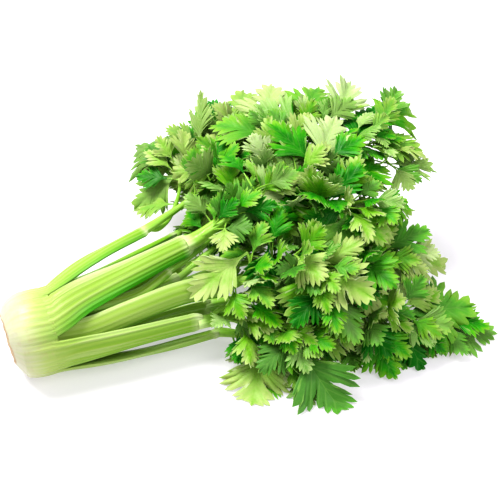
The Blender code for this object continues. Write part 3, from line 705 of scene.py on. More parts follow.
    def place_leaf(self, name, number, rank, draw):
        spray = SPRAYS[name][number]
        hub, tip = Vector(spray.hub), Vector(spray.tip)
        outward = (hub - LEAF_MASS_CENTRE).normalized() + Vector((0, 0, OUTWARD_RISE))
        face = Vector(spray.face) if spray.face else outward
        ahead = (tip - hub).normalized()
        normal = (face - face.project(ahead)).normalized()
        side = normal.cross(ahead)
        turn, size, back = SPRAY_PLAN[rank]
        start = self.hubs[name][number][-1 - round(back / BEAD_STEP)][0]
        for attempt in range(LEAF_TRIES):
            loose = FIRST_LOOSENESS + attempt * LOOSER
            yaw = math.radians(turn + draw.uniform(-LEAF_TURN, LEAF_TURN) * loose)
            pitch = math.radians(draw.uniform(-LEAF_TURN, LEAF_TURN) * loose)
            roll = math.radians(draw.uniform(-LEAF_ROLL, LEAF_ROLL) * loose)
            forward = ahead * math.cos(yaw) + side * math.sin(yaw)
            across = side * math.cos(yaw) - ahead * math.sin(yaw)
            raised = forward * math.cos(pitch) + normal * math.sin(pitch)
            over = normal * math.cos(pitch) - forward * math.sin(pitch)
            length = (tip - hub).length * LEAF_SCALE * size * draw.uniform(*LENGTHS) * (1 - SHORTER * attempt)
            leaf = Leaf(
                root=start - raised * ROOT_DEPTH,
                forward=raised,
                side=across * math.cos(roll) + over * math.sin(roll),
                normal=over * math.cos(roll) - across * math.sin(roll),
                length=length,
                fold=draw.uniform(*FOLDS),
                droop=draw.uniform(*DROOPS),
                curl=draw.uniform(*CURLS),
                wave=draw.uniform(*WAVES),
                phase=draw.uniform(0, math.tau),
            )
            if self.keep_if_clear(name, start, leaf, LEAF_THICKNESS + 2 * LEAF_CLEARANCE):
                return


# Materials

# Leaflets: tones from the darkest to the lightest, above and below, what fresh ones and those painted as lit
# turn to, and the veins
GREENS = ((0.14, (0.002, 0.165, 0.0005)), (0.34, (0.036, 0.310, 0.002)), (0.58, (0.175, 0.410, 0.018)),
          (0.90, (0.400, 0.505, 0.175)))
PALE_GREENS = ((0.10, (0.110, 0.320, 0.030)), (0.45, (0.290, 0.460, 0.140)), (0.90, (0.480, 0.590, 0.300)))
FRESH_AND_LIT_GREEN = (0.39, 0.48, 0.17)
VEIN_GREEN = (0.28, 0.46, 0.12)
UNDER_VEIN_GREEN = (0.50, 0.62, 0.32)
# Leaf stems
STEM_GREENS = ((0.30, (0.17, 0.40, 0.03)), (0.52, (0.30, 0.55, 0.07)), (0.72, (0.46, 0.66, 0.16)))
STEM_START = (0.62, 0.76, 0.36)
# Stalks and butt: cream at the cut end to green at the joints, then what lies over that: painted shade in the
# rib channels, streaks, painted highlights on the ridges, threads, painted shade on each stalk's lower edge, a
# painted highlight on its upper edge, pale joints, and the cut end's scar and stains
FLESH_TONES = ((0.03, (0.62, 0.61, 0.44)), (0.09, (0.58, 0.61, 0.34)), (0.15, (0.48, 0.57, 0.20)),
               (0.28, (0.35, 0.48, 0.090)), (0.75, (0.26, 0.43, 0.045)))
CHANNEL_SHADE_GREEN = (0.16, 0.39, 0.015)
BROAD_STREAK = (0.53, 0.61, 0.29)
RIDGE_HIGHLIGHT_PALE = (0.52, 0.57, 0.33)
THREAD_GREEN = (0.14, 0.36, 0.02)
LOW_SIDE_SHADE_GREEN = (0.035, 0.39, 0.001)
HIGH_SIDE_HIGHLIGHT_PALE = (0.58, 0.62, 0.38)
JOINT_PALE = (0.62, 0.70, 0.40)
SCAR_TANS = ((0.30, (0.30, 0.16, 0.07)), (0.48, (0.52, 0.37, 0.22)), (0.66, (0.64, 0.54, 0.38)))
BUTT_STAIN = (0.50, 0.40, 0.24)


def nodes_of(name):
    made = bpy.data.materials.new(name)
    made.use_nodes = True
    tree = made.node_tree
    return made, tree, tree.nodes["Principled BSDF"]


class Wiring:
    """Short names for the node links that every finish here uses."""

    def __init__(self, tree):
        self.tree = tree

    def put(self, socket, value):
        if isinstance(value, bpy.types.NodeSocket):
            self.tree.links.new(value, socket)
        elif isinstance(value, tuple) and socket.type == "RGBA":
            socket.default_value = (*value, 1.0)
        else:
            socket.default_value = value

    def node(self, kind, **values):
        made = self.tree.nodes.new(kind)
        for key, value in values.items():
            setattr(made, key, value)
        return made

    def math(self, operation, a, b=0.0, c=0.0):
        made = self.node("ShaderNodeMath", operation=operation)
        for socket, value in zip(made.inputs, (a, b, c)):
            self.put(socket, value)
        return made.outputs[0]

    def plus(self, a, b):
        return self.math("ADD", a, b)

    def minus(self, a, b):
        return self.math("SUBTRACT", a, b)

    def times(self, a, b):
        return self.math("MULTIPLY", a, b)

    def attribute(self, name):
        """The three numbers that a piece keeps under this name."""
        found = self.node("ShaderNodeAttribute", attribute_name=name)
        split = self.node("ShaderNodeSeparateXYZ")
        self.put(split.inputs[0], found.outputs["Vector"])
        return split.outputs

    def place(self):
        found = self.node("ShaderNodeTexCoord")
        split = self.node("ShaderNodeSeparateXYZ")
        self.put(split.inputs[0], found.outputs["Object"])
        return found.outputs["Object"], split.outputs

    def vector(self, x, y, z):
        made = self.node("ShaderNodeCombineXYZ")
        for socket, value in zip(made.inputs, (x, y, z)):
            self.put(socket, value)
        return made.outputs[0]

    def noise(self, vector, scale, detail=2.0, roughness=0.5):
        made = self.node("ShaderNodeTexNoise")
        self.put(made.inputs["Vector"], vector)
        self.put(made.inputs["Scale"], scale)
        self.put(made.inputs["Detail"], detail)
        self.put(made.inputs["Roughness"], roughness)
        return made.outputs["Fac"]

    def range(self, value, low, high, to_low=0.0, to_high=1.0, kind="SMOOTHSTEP"):
        made = self.node("ShaderNodeMapRange", interpolation_type=kind)
        for key, given in zip(("Value", "From Min", "From Max", "To Min", "To Max"),
                              (value, low, high, to_low, to_high)):
            self.put(made.inputs[key], given)
        return made.outputs["Result"]

    def mix(self, part, a, b):
        made = self.node("ShaderNodeMix", data_type="RGBA")
        colours = [socket for socket in made.inputs if socket.type == "RGBA"]
        self.put(made.inputs[0], part)
        self.put(colours[0], a)
        self.put(colours[1], b)
        return [socket for socket in made.outputs if socket.type == "RGBA"][0]

    def ramp(self, value, stops):
        made = self.node("ShaderNodeValToRGB")
        line = made.color_ramp
        while len(line.elements) < len(stops):
            line.elements.new(0.5)
        for element, (place, colour) in zip(line.elements, stops):
            element.position = place
            element.color = (*colour, 1.0)
        self.put(made.inputs[0], value)
        return made.outputs["Color"]

    def bump(self, height, depth, strength=1.0):
        made = self.node("ShaderNodeBump")
        self.put(made.inputs["Height"], height)
        self.put(made.inputs["Distance"], depth)
        self.put(made.inputs["Strength"], strength)
        return made.outputs["Normal"]


def let_light_in(shader, weight, colour, depth):
    """Light goes a little way into the flesh: how much of it, how far in each colour, and how deep."""
    shader.inputs["Subsurface Weight"].default_value = weight
    shader.inputs["Subsurface Radius"].default_value = colour
    shader.inputs["Subsurface Scale"].default_value = depth


def vein_marks(wires):
    """How much a point of a leaflet lies on its midrib, on a side vein, and on the fine net between them."""
    along, across, _ = wires.attribute("blade")
    between = wires.math("FRACT", wires.plus(along, 0.5))
    off = wires.math("ABSOLUTE", wires.minus(between, 0.5))
    width = wires.range(across, 0.0, 1.0, 0.20, 0.07, "LINEAR")
    side_vein = wires.minus(1.0, wires.range(wires.math("DIVIDE", off, width), 0.0, 1.0))
    midrib = wires.range(across, 0.0, 0.055, 1.0, 0.0)
    net = wires.node("ShaderNodeTexVoronoi", feature="DISTANCE_TO_EDGE")
    wires.put(net.inputs["Vector"], wires.vector(wires.times(along, 2.6), wires.times(across, 9.0), 0.0))
    wires.put(net.inputs["Scale"], 1.0)
    fine = wires.range(net.outputs["Distance"], 0.0, 0.12, 1.0, 0.0)
    return midrib, side_vein, fine


def leaf_finish(name, tones, vein_colour, vein_part, roughness, vein_depth):
    """A leaflet's face: its tone from the leaflet's own number, a fresh green that also carries painted light
    and shade by its place, veins and their net, and a soft mottle.
    """
    made, tree, shader = nodes_of(name)
    wires = Wiring(tree)
    midrib, side_vein, fine = vein_marks(wires)
    tone, fresh_and_lit, _ = wires.attribute("tone")
    _, across, along = wires.attribute("blade")
    place, _ = wires.place()
    mottle = wires.noise(place, 55.0, 3.0)
    speck = wires.noise(place, 420.0, 2.0)
    value = wires.plus(tone, wires.times(wires.minus(mottle, 0.5), 0.45))
    value = wires.plus(value, wires.times(wires.minus(speck, 0.5), 0.16))
    value = wires.plus(value, wires.range(wires.times(across, along), 0.0, 0.9, -0.16, 0.16))
    colour = wires.ramp(value, tones)
    # The fresh green mix: each leaflet's own freshness, plus painted light and shade by its place in the head
    colour = wires.mix(wires.times(fresh_and_lit, 0.55), colour, FRESH_AND_LIT_GREEN)
    veins = wires.math("MAXIMUM", midrib, wires.times(side_vein, 0.75))
    marks = wires.math("MAXIMUM", veins, wires.times(fine, 0.22))
    colour = wires.mix(wires.times(marks, vein_part), colour, vein_colour)
    wires.put(shader.inputs["Base Color"], colour)
    sheen = wires.range(mottle, 0.3, 0.7, roughness - 0.06, roughness + 0.08, "LINEAR")
    wires.put(shader.inputs["Roughness"], sheen)
    height = wires.plus(wires.times(marks, vein_depth), wires.times(speck, 0.35))
    wires.put(shader.inputs["Normal"], wires.bump(height, 0.0006, 0.6))
    shader.inputs["Specular IOR Level"].default_value = 0.22
    let_light_in(shader, 0.10, (0.5, 1.0, 0.2), 0.0012)
    return made


def stem_finish(name):
    """A leaf stem: pale green with lengthwise fibres, nearly white where it leaves its joint."""
    made, tree, shader = nodes_of(name)
    wires = Wiring(tree)
    round_x, round_y, along = wires.attribute("fibre")
    pale, _, _ = wires.attribute("tone")
    stretched = wires.vector(wires.times(round_x, 3.0), wires.times(round_y, 3.0), wires.times(along, 14.0))
    fibres = wires.noise(stretched, 1.0, 3.0, 0.6)
    place, _ = wires.place()
    mottle = wires.noise(place, 40.0, 2.0)
    colour = wires.ramp(wires.plus(wires.times(fibres, 0.7), wires.times(mottle, 0.3)), STEM_GREENS)
    colour = wires.mix(pale, colour, STEM_START)
    wires.put(shader.inputs["Base Color"], colour)
    wires.put(shader.inputs["Roughness"], wires.range(fibres, 0.3, 0.7, 0.28, 0.42, "LINEAR"))
    wires.put(shader.inputs["Normal"], wires.bump(fibres, 0.0004, 0.5))
    let_light_in(shader, 0.12, (0.6, 1.0, 0.3), 0.003)
    return made


def flesh_colour(wires, fibres, ridge, x):
    """Cream at the butt, through pale yellow, to the stalks' green: the ridges turn green first."""
    reach = wires.plus(x, wires.times(wires.minus(fibres, 0.5), 0.040))
    reach = wires.plus(reach, wires.times(ridge, 0.006))
    return wires.ramp(wires.range(reach, -0.030, 0.190, 0.0, 1.0, "LINEAR"), FLESH_TONES)


def flesh_finish(name, cut_end):
    """Glossy ribbed flesh, pale at the butt and the joints and green below, with painted shade in its channels
    and on each stalk's lower edge and painted highlights on its ridges and upper edge; a cut end has a dry tan
    scar.
    """
    made, tree, shader = nodes_of(name)
    wires = Wiring(tree)
    across, along, stalk = wires.attribute("fibre")
    ridge, pale, painted_light_side = wires.attribute("tone")
    place, (x, _, _) = wires.place()
    fine = wires.vector(wires.times(across, 1100.0), wires.times(stalk, 4.0), wires.times(along, 9.0))
    fibres = wires.noise(fine, 1.0, 3.0, 0.6)
    wide = wires.vector(wires.times(across, 260.0), wires.times(stalk, 2.0), wires.times(along, 7.0))
    broad = wires.noise(wide, 1.0, 2.0)
    colour = flesh_colour(wires, wires.plus(wires.times(fibres, 0.4), wires.times(broad, 0.6)), ridge, x)
    # Painted shade: the rib channels, and the butt's seams, are greened as far as they are deep, more so
    # towards the stalks
    shade = wires.minus(1.0, ridge)
    channel_shade = wires.times(shade, wires.range(x, -0.026, 0.04, 0.10, 0.38))
    colour = wires.mix(channel_shade, colour, CHANNEL_SHADE_GREEN)
    colour = wires.mix(wires.range(broad, 0.52, 0.75, 0.0, 0.40), colour, BROAD_STREAK)
    # Painted highlight: the ridges along the stalks are paled, as if catching the light
    ridges = wires.times(wires.range(ridge, 0.55, 1.0, 0.0, 0.25), wires.range(x, 0.0, 0.05))
    colour = wires.mix(ridges, colour, RIDGE_HIGHLIGHT_PALE)
    threads = wires.times(wires.range(fibres, 0.30, 0.50, 0.24, 0.0), wires.range(x, -0.015, 0.02))
    colour = wires.mix(threads, colour, THREAD_GREEN)
    # Painted shade greens each stalk's lower edge, and a painted highlight pales its upper edge
    painted_shade_part = wires.range(x, -0.010, 0.060, 0.0, 0.85)
    colour = wires.mix(wires.times(wires.range(painted_light_side, 0.15, 0.95), painted_shade_part), colour, LOW_SIDE_SHADE_GREEN)
    painted_highlight_part = wires.range(x, 0.010, 0.060, 0.0, 0.70)
    colour = wires.mix(wires.times(wires.range(painted_light_side, -0.20, -0.90), painted_highlight_part), colour, HIGH_SIDE_HIGHLIGHT_PALE)
    colour = wires.mix(pale, colour, JOINT_PALE)
    roughness = wires.range(fibres, 0.3, 0.7, 0.26, 0.42, "LINEAR")
    height = fibres
    if cut_end:
        scar, _, _ = wires.attribute("scar")
        blotch = wires.noise(place, 130.0, 4.0, 0.65)
        grain = wires.noise(place, 700.0, 3.0, 0.6)
        dry = wires.ramp(wires.plus(wires.times(blotch, 0.65), wires.times(grain, 0.35)), SCAR_TANS)
        colour = wires.mix(wires.times(wires.range(blotch, 0.50, 0.72), 0.30), colour, BUTT_STAIN)
        colour = wires.mix(scar, colour, dry)
        roughness = wires.plus(wires.times(scar, 0.40), roughness)
        height = wires.plus(wires.times(fibres, 0.6), wires.times(grain, scar))
    wires.put(shader.inputs["Base Color"], colour)
    wires.put(shader.inputs["Roughness"], roughness)
    wires.put(shader.inputs["Normal"], wires.bump(height, 0.0005, 0.5))
    shader.inputs["Specular IOR Level"].default_value = 0.28
    let_light_in(shader, 0.15, (0.7, 1.0, 0.35), 0.004)
    return made


# Pieces

def add_object(name, data):
    made = bpy.data.objects.new(name, data)
    bpy.context.scene.collection.objects.link(made)
    return made


def add_mesh(name, bm):
    mesh = bpy.data.meshes.new(name)
    bm.to_mesh(mesh)
    bm.free()
    return add_object(name, mesh), mesh


def piece(name, bm, finishes, node):
    """The bmesh as one object in the scene that stands for a CAD node."""
    made, mesh = add_mesh(name, bm)
    for finish in finishes:
        mesh.materials.append(finish)
    mesh.shade_smooth()
    mesh.set_sharp_from_angle(angle=math.radians(50))
    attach(made, "root")
    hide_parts(node)
    return made


def sheet_of(columns, rows):
    """A flat grid and, for each of its vertices, its two parts from 0 to 1."""
    bm = bmesh.new()
    bmesh.ops.create_grid(bm, x_segments=columns, y_segments=rows, size=1.0)
    return bm, [((vert.co.x + 1) / 2, (vert.co.y + 1) / 2) for vert in bm.verts]


def close_tube(bm):
    """Joins a rolled-up grid at its seam, fills its two ends and turns its faces outwards."""
    bmesh.ops.remove_doubles(bm, verts=bm.verts[:], dist=1e-6)
    bmesh.ops.dissolve_degenerate(bm, edges=bm.edges[:], dist=1e-7)
    rim = [edge for edge in bm.edges if edge.is_boundary]
    if rim:
        bmesh.ops.holes_fill(bm, edges=rim, sides=0)
    face_outwards(bm)


# The ribs: how deep they are, the deepest of all, and how far apart they stand
RIB_RELIEF = 0.0007
RIB_RELIEFS = {"outer_3": 0.0010, "outer_4": 0.0009, "outer_1": 0.0005, "inner_2": 0.0003, "inner_1": 0.0004}
DEEPEST_RELIEF = 0.0010
RIB_SPACING = 0.0046
# How strongly painted shade greens a stalk's lower edge and a painted highlight pales its upper one
PAINTED_SIDE_LIGHT = 0.5
PAINTED_SIDE_LIGHTS = {"outer_2": 1.0, "outer_1": 0.7, "outer_3": 0.6, "inner_2": 0.55, "inner_4": 0.9}
# How much wider a stalk gets half way along, on its lower edge, or on the upper one where this is below 0
LEANINGS = {"outer_3": 0.12, "outer_4": -0.35}
# Steps along a stalk, across its back and across its hollow face, and where its edges begin to round
STALK_ROWS = 46
OUTER_STEPS = 72
INNER_STEPS = 24
EDGE_ROUNDING = 0.80


def rib(name, part):
    """Height of the ribs, 0 in a channel and 1 on a ridge, at -1 to 1 across the stalk."""
    stalk = STALKS[name]
    count = max(4, round(stalk.widths[0] / RIB_SPACING))
    spread = part + 0.05 * math.sin(5.0 * part + stalk.angle)
    wave = 0.5 + 0.5 * math.cos(math.tau * count * (spread + 1) / 2)
    return wave ** 1.2 * (0.75 + 0.25 * math.sin(9.0 * part + 2 * stalk.angle))


def ribbed_stalk(name):
    """A crescent stalk with fine ribs on its back, thin rounded edges and a smooth hollow face."""
    stalk = STALKS[name]
    outwards, widths, curls = stalk_measures(name)
    way = stalk_way(name, STALK_ROWS + 1)
    forwards = headings(way)
    frames = []
    for i, (place, heading) in enumerate(zip(way, forwards)):
        heading = Vector((1, 0, 0)).lerp(heading, ease(0, 8, i)).normalized()
        out = (outwards - outwards.project(heading)).normalized()
        frames.append((place, heading.cross(out), out, heading))
    bm, parts = sheet_of(STALK_ROWS, OUTER_STEPS + INNER_STEPS)
    fibre = bm.verts.layers.float_vector.new("fibre")
    tone = bm.verts.layers.float_vector.new("tone")
    seed = random.Random(stalk.angle)
    phase = seed.uniform(0, math.tau)
    relief = RIB_RELIEFS.get(name, RIB_RELIEF)
    shading = PAINTED_SIDE_LIGHTS.get(name, PAINTED_SIDE_LIGHT)
    leaning = LEANINGS.get(name, 0.0)
    for vert, (u, v) in zip(bm.verts, parts):
        row = round(u * STALK_ROWS)
        place, across, out, heading = frames[row]
        step = v * (OUTER_STEPS + INNER_STEPS)
        if step <= OUTER_STEPS:
            part, side = 2 * step / OUTER_STEPS - 1, 1.0
        else:
            part, side = 1 - 2 * (step - OUTER_STEPS) / INNER_STEPS, -1.0
        width, curl = blend(widths, u), blend(curls, u)
        end = ease(0.965, 1.0, u)
        radius = width / 2 / math.sin(curl)
        wall = stalk.wall * (1 - EDGE_THINNING * part * part)
        beyond = max(0.0, (abs(part) - EDGE_ROUNDING) / (1 - EDGE_ROUNDING))
        half = wall / 2 * math.sqrt(max(0.0, 1 - beyond * beyond))
        ridge = rib(name, part)
        reach = radius - wall / 2 + side * half
        if side > 0:
            fade = ease(0.0, 0.05, 1 - abs(part))
            reach += relief * (ridge - 1) * fade
        reach += 0.0006 * math.sin(9 * u + phase + 2.2 * part) * ease(0.05, 0.2, u)
        angle = curl * part
        s, o = reach * math.sin(angle), stalk.wall / 2 - radius + reach * math.cos(angle)
        s *= 1 + ease(0.0, 1.0, part * math.copysign(1.0, leaning)) * abs(leaning) * math.sin(math.pi * u)
        swell = 1 + 0.05 * ease(0.93, 0.97, u) - 0.30 * end
        back = (FOOT_X - 0.010 - place.x) * (1 - ease(0, 1, row)) if row == 0 else 0.0
        vert.co = place + across * s * swell + out * (o * swell) + heading * back
        vert[fibre] = (part * width / 2, u * 0.17, side * half / (wall / 2) + stalk.angle)
        pale = ease(0.945, 0.975, u) * 0.75 * (1 - 0.3 * ease(0.99, 1.0, u))
        # The ridge height also sets the painted shade in the channels; the last number sets the painted shade
        # on the lower edge and the painted highlight on the upper one
        raised = 1 - (1 - ridge) * relief / DEEPEST_RELIEF if side > 0 else 0.6
        vert[tone] = (raised, pale, shading * part)
    close_tube(bm)
    return bm


def fluted_tube(way, radii, sides, flutes, flatten, pale_at_start):
    """A tapered stem with shallow flutes along it; its first stretch is pale."""
    rows = len(way) - 1
    forwards = headings(way)
    up = Vector((0, 0, 1))
    frames = []
    for heading in forwards:
        up = (up - up.project(heading)).normalized()
        frames.append((heading.cross(up), up))
    run = [0.0]
    for a, b in zip(way, way[1:]):
        run.append(run[-1] + (b - a).length)
    bm, parts = sheet_of(rows, sides)
    fibre = bm.verts.layers.float_vector.new("fibre")
    tone = bm.verts.layers.float_vector.new("tone")
    blade = bm.verts.layers.float_vector.new("blade")
    for vert, (u, v) in zip(bm.verts, parts):
        row = round(u * rows)
        turn = math.tau * v
        across, over = frames[row]
        radius = radii[row]
        flute = 1 - 0.10 * (0.5 + 0.5 * math.cos(flutes * turn)) ** 2
        channel = 1 - 0.16 * max(0.0, math.sin(turn)) ** 6
        reach = radius * flute * channel
        vert.co = way[row] + across * math.cos(turn) * reach * flatten + over * math.sin(turn) * reach
        vert[fibre] = (math.cos(turn), math.sin(turn), run[row])
        vert[tone] = (pale_at_start * (1 - ease(0.0, 0.012, run[row])) * 0.8, 0.0, 0.0)
        vert[blade] = (0.5, 0.5, 0.0)
    close_tube(bm)
    for face in bm.faces:
        face.material_index = 2
    return bm


HEART_ROWS = 39
HEART_AROUND = 40
HEART_FLUTES = 9
HEART_TAPER = 0.12


def heart_stalk():
    """The slim round stalk in the middle, fluted all round."""
    way = stalk_way("heart", HEART_ROWS + 1)
    way[0] = way[0] - Vector((0.003, 0, 0))
    radii = [HEART_RADIUS * (1 - HEART_TAPER * ease(0.5, 1.0, i / HEART_ROWS)) for i in range(HEART_ROWS + 1)]
    bm = fluted_tube(way, radii, HEART_AROUND, HEART_FLUTES, 1.0, 0.0)
    tone = bm.verts.layers.float_vector["tone"]
    fibre = bm.verts.layers.float_vector["fibre"]
    for vert in bm.verts:
        x, y, run = vert[fibre]
        turn = math.atan2(y, x)
        # The flutes' ridge height sets the painted shade in their channels and the painted highlight on their
        # ridges
        vert[tone] = (0.5 + 0.5 * math.cos(HEART_FLUTES * turn), ease(0.130, 0.138, run) * 0.7, 0.0)
        vert[fibre] = (turn * 0.005, run, 1.0)
    for face in bm.faces:
        face.material_index = 0
    return bm


BUTT_AROUND = 288
# The butt's outline from the middle of the scar, over its rim and the dome, to the middle of its hidden end
BUTT_OUTLINE = (
    (-0.0325, 0.0002), (-0.0322, 0.0080), (-0.0328, 0.0150), (-0.0336, 0.0205), (-0.0343, 0.0238),
    (-0.0342, 0.0262), (-0.0332, 0.0292), (-0.0312, 0.0330), (-0.0285, 0.0362), (-0.0250, 0.0389),
    (-0.0205, 0.0413), (-0.0150, 0.0433), (-0.0090, 0.0444), (-0.0030, 0.0448), (0.0030, 0.0447),
    (0.0080, 0.0443), (0.0120, 0.0436), (0.0150, 0.0424), (0.0152, 0.0300), (0.0150, 0.0002),
)
BUTT_ROWS = 76
SCAR_RADIUS = 0.0255
# The scar is cut askew: it tilts and widens towards this side, by this much at its rim
SCAR_SIDE = 2.0
SCAR_TILT = 0.0026
SCAR_EDGE = 0.0012


def butt_bulb():
    """The bulb below the stalks: seams between the outer stalks' feet and ribs that run out on it."""
    outer = [(name, stalk) for name, stalk in STALKS.items() if stalk.ring == OUTER_RING]
    outline = smooth_way([(x, r, 0.0) for x, r in BUTT_OUTLINE], BUTT_ROWS + 1)
    bm, parts = sheet_of(BUTT_ROWS, BUTT_AROUND)
    tone = bm.verts.layers.float_vector.new("tone")
    fibre = bm.verts.layers.float_vector.new("fibre")
    scar = bm.verts.layers.float_vector.new("scar")
    for vert, (u, v) in zip(bm.verts, parts):
        row = round(u * BUTT_ROWS)
        x, radius = outline[row].x, max(0.0, outline[row].y)
        angle = 360.0 * v
        parts_of = ((((angle - stalk.angle + 180) % 360 - 180) / (stalk.share + BUTT_SEAM_ANGLE), name)
                    for name, stalk in outer)
        part, name = min(parts_of, key=lambda found: abs(found[0]))
        stalk = STALKS[name]
        part = min(1.0, max(-1.0, part))
        ridge = rib(name, part)
        seam = abs(part) ** 9
        wall = ease(0.022, 0.034, radius)
        outer_face = wall * (1.0 if x < 0.0149 else 0.0)
        seam_depth = (0.0003 + 0.0014 * ease(-0.034, 0.010, x)) * seam * outer_face
        rib_depth = RIB_RELIEFS.get(name, RIB_RELIEF) * (1 - ridge) * ease(-0.024, 0.004, x) * outer_face
        turned = math.radians(angle)
        lumps = (0.0007 * math.sin(3 * turned + 40 * x) + 0.0004 * math.sin(7 * turned - 90 * x)) * wall
        lumps *= 1 - ease(-0.014, 0.006, x)
        crown = 1 - ease(0.0, SCAR_RADIUS * 0.9, radius)
        facing = math.cos(turned - SCAR_SIDE)
        tilt = SCAR_TILT * (1 + facing) * (radius / SCAR_RADIUS) * (1 - ease(-0.033, -0.016, x))
        place = round_head(angle, max(0.0, radius - seam_depth - rib_depth + lumps), x)
        place.x += tilt * (1 - crown) + 0.0005 * math.sin(11 * turned) * math.sin(300 * radius) * (1 - wall)
        place.z = max(0.0, place.z)
        vert.co = place
        edge = SCAR_RADIUS + SCAR_EDGE * (1 + facing) + 0.0008 * math.sin(5 * turned)
        dry = 1 - ease(edge - SCAR_EDGE, edge + SCAR_EDGE, radius)
        vert[scar] = (dry if x < 0 else 0.0, 0.0, 0.0)
        # Ridge height, lowered at the seams, sets the painted shade in channels and seams; the last number sets
        # the painted side shade and highlight
        vert[tone] = (ridge * (1 - 0.6 * seam), 0.0, PAINTED_SIDE_LIGHTS.get(name, PAINTED_SIDE_LIGHT) * part)
        vert[fibre] = (part * stalk.ring * math.sin(math.radians(stalk.share)), x - FOOT_X, 1.0 + stalk.angle)
    close_tube(bm)
    return bm


def leaf_halves(draw):
    """Both halves' side veins at every step from stalk to tip, each half drawn a little differently."""
    halves = []
    shallow = draw.uniform(-0.10, 0.35)
    broad = draw.uniform(0.80, 1.12)
    for _ in range(2):
        keys = []
        for start, x, y, number in STALK_VEINS + TOOTH_VEINS:
            if number >= 1.0:
                if number == SINUS_VEIN:
                    x += (0.70 - x) * shallow
                    y += (0.20 - y) * shallow
                elif number % 1.0:
                    x -= (x - start) * NOTCH_DEPTH
                    y *= 1 - NOTCH_DEPTH
                x += draw.uniform(-0.020, 0.020)
                y *= draw.uniform(0.92, 1.08)
            if number > 0.5:
                y *= broad
            keys.append((start, x, y, number))
        steps = []
        for a, b in zip(keys, keys[1:]):
            for step in range(STEPS_PER_VEIN):
                part = step / STEPS_PER_VEIN
                here = [p + (q - p) * part for p, q in zip(a, b)]
                bulge = TOOTH_BULGE * math.sin(math.pi * part) if b[3] > 1.0 else 0.0
                here[1] -= (b[2] - a[2]) * bulge
                here[2] += (b[1] - a[1]) * bulge
                steps.append(here)
        steps.append(list(keys[-1]))
        halves.append(steps)
    return halves


def fine_leaflet(leaf, draw, tone_of, steps_across, turned):
    """A toothed, veined and ruffled leaflet in the place of a plain one; a turned one shows its underside."""
    halves = leaf_halves(draw)
    ruffle = draw.uniform(0.02, 0.06)
    turns = draw.uniform(0.16, 0.30)
    shift = draw.uniform(0, math.tau)
    tip_bend = draw.uniform(-0.10, 0.35)
    bm, parts = sheet_of(LEAF_STEPS, steps_across)
    blade = bm.verts.layers.float_vector.new("blade")
    tone = bm.verts.layers.float_vector.new("tone")
    fibre = bm.verts.layers.float_vector.new("fibre")
    for vert, (u, v) in zip(bm.verts, parts):
        across = 2 * v - 1
        start, edge_x, edge_y, vein = halves[across < 0][round(u * LEAF_STEPS)]
        t = abs(across) ** ACROSS_POWER
        x = start + t * (edge_x - start)
        y = math.copysign(t * edge_y, across)
        on_blade = ease(0.14, 0.22, start)
        between = 0.5 - 0.5 * math.cos(math.tau * vein)
        quilt = QUILTING * between * math.sin(math.pi * min(1.0, t * 1.1)) * on_blade
        half_shift = OTHER_HALF_SHIFT if across < 0 else 0.0
        wavy = ruffle * t * t * math.sin(math.tau * vein * turns + shift + half_shift) * on_blade
        bend = -tip_bend * t ** 3 * abs(edge_y)
        vert.co = leaf_point(leaf, x, y, quilt + wavy + bend)
        vert[blade] = (vein, t, x)
        vert[tone] = tone_of
        vert[fibre] = (0.0, 0.0, x)
    thicken(bm, FINE_THICKNESS)
    if turned:
        for face in bm.faces:
            face.material_index = 1 - face.material_index
    return bm


def gather(whole, part):
    """Adds one bmesh to another."""
    mesh = bpy.data.meshes.new("part")
    part.to_mesh(mesh)
    part.free()
    whole.from_mesh(mesh)
    bpy.data.meshes.remove(mesh)


# How many leaflets turn their underside up
UNDERSIDE_SHARE = 0.22
# Painted light and shade: how much lighter the leaflets are made at the back near the stalks, as if lit, and
# how much darker at the front, as if in shade
PAINTED_LIGHT_SHARE = 0.7
PAINTED_SHADE_SHARE = 0.4
# Leaf stems: the length of a step along them, and how far a trunk goes into its stalk's end
STEM_STEP = 0.004
TRUNK_INSET = 0.006


def leafy_spray(name, layout):
    """All leaf stems and leaflets of one stalk."""
    whole = bmesh.new()
    for key in ("blade", "tone", "fibre"):
        whole.verts.layers.float_vector.new(key)
    trunks = len(TRUNKS[name])
    for number, (way, radii) in enumerate(layout.stems[name]):
        trunk = number < trunks
        length = sum((b - a).length for a, b in zip(way, way[1:]))
        rows = max(5, round(length / STEM_STEP))
        if trunk:
            heading = (way[1] - way[0]).normalized()
            way = [way[0] - heading * TRUNK_INSET, *way[1:]]
        line = smooth_way(way, rows + 1)
        last = len(radii) - 1
        widths = []
        for row in range(rows + 1):
            along = last * row / rows
            low = min(int(along), last - 1)
            widths.append(radii[low] + (radii[low + 1] - radii[low]) * (along - low))
        if trunk:
            sides, flutes, flatten = 24, 7, 1.15
        else:
            sides, flutes, flatten = 12 if number < layout.plain_stems[name] else 8, 5, 1.0
        gather(whole, fluted_tube(line, widths, sides, flutes, flatten, trunk))
    for number, leaf in enumerate(layout.leaves[name]):
        draw = random.Random(NAMES.index(name) * 100 + number)
        filler = number >= layout.plain_leaves[name]
        # Painted light and shade: leaflets at the back near the stalks get more of the fresh green, as if lit,
        # and those at the front less, as if in shade
        painted_light = PAINTED_LIGHT_SHARE * ease(0.06, 0.16, leaf.root.y) * (1 - ease(0.26, 0.34, leaf.root.x))
        painted_light -= PAINTED_SHADE_SHARE * (1 - ease(-0.01, 0.07, leaf.root.y)) * (1 - ease(0.33, 0.38, leaf.root.x))
        tone_of = (draw.betavariate(2.0, 2.0), min(1.0, max(0.0, draw.uniform(-0.8, 1.0) + painted_light)), 0.0)
        turned = draw.random() < UNDERSIDE_SHARE
        steps_across = FILLER_STEPS_ACROSS if filler else STEPS_ACROSS
        gather(whole, fine_leaflet(leaf, draw, tone_of, steps_across, turned))
    return whole


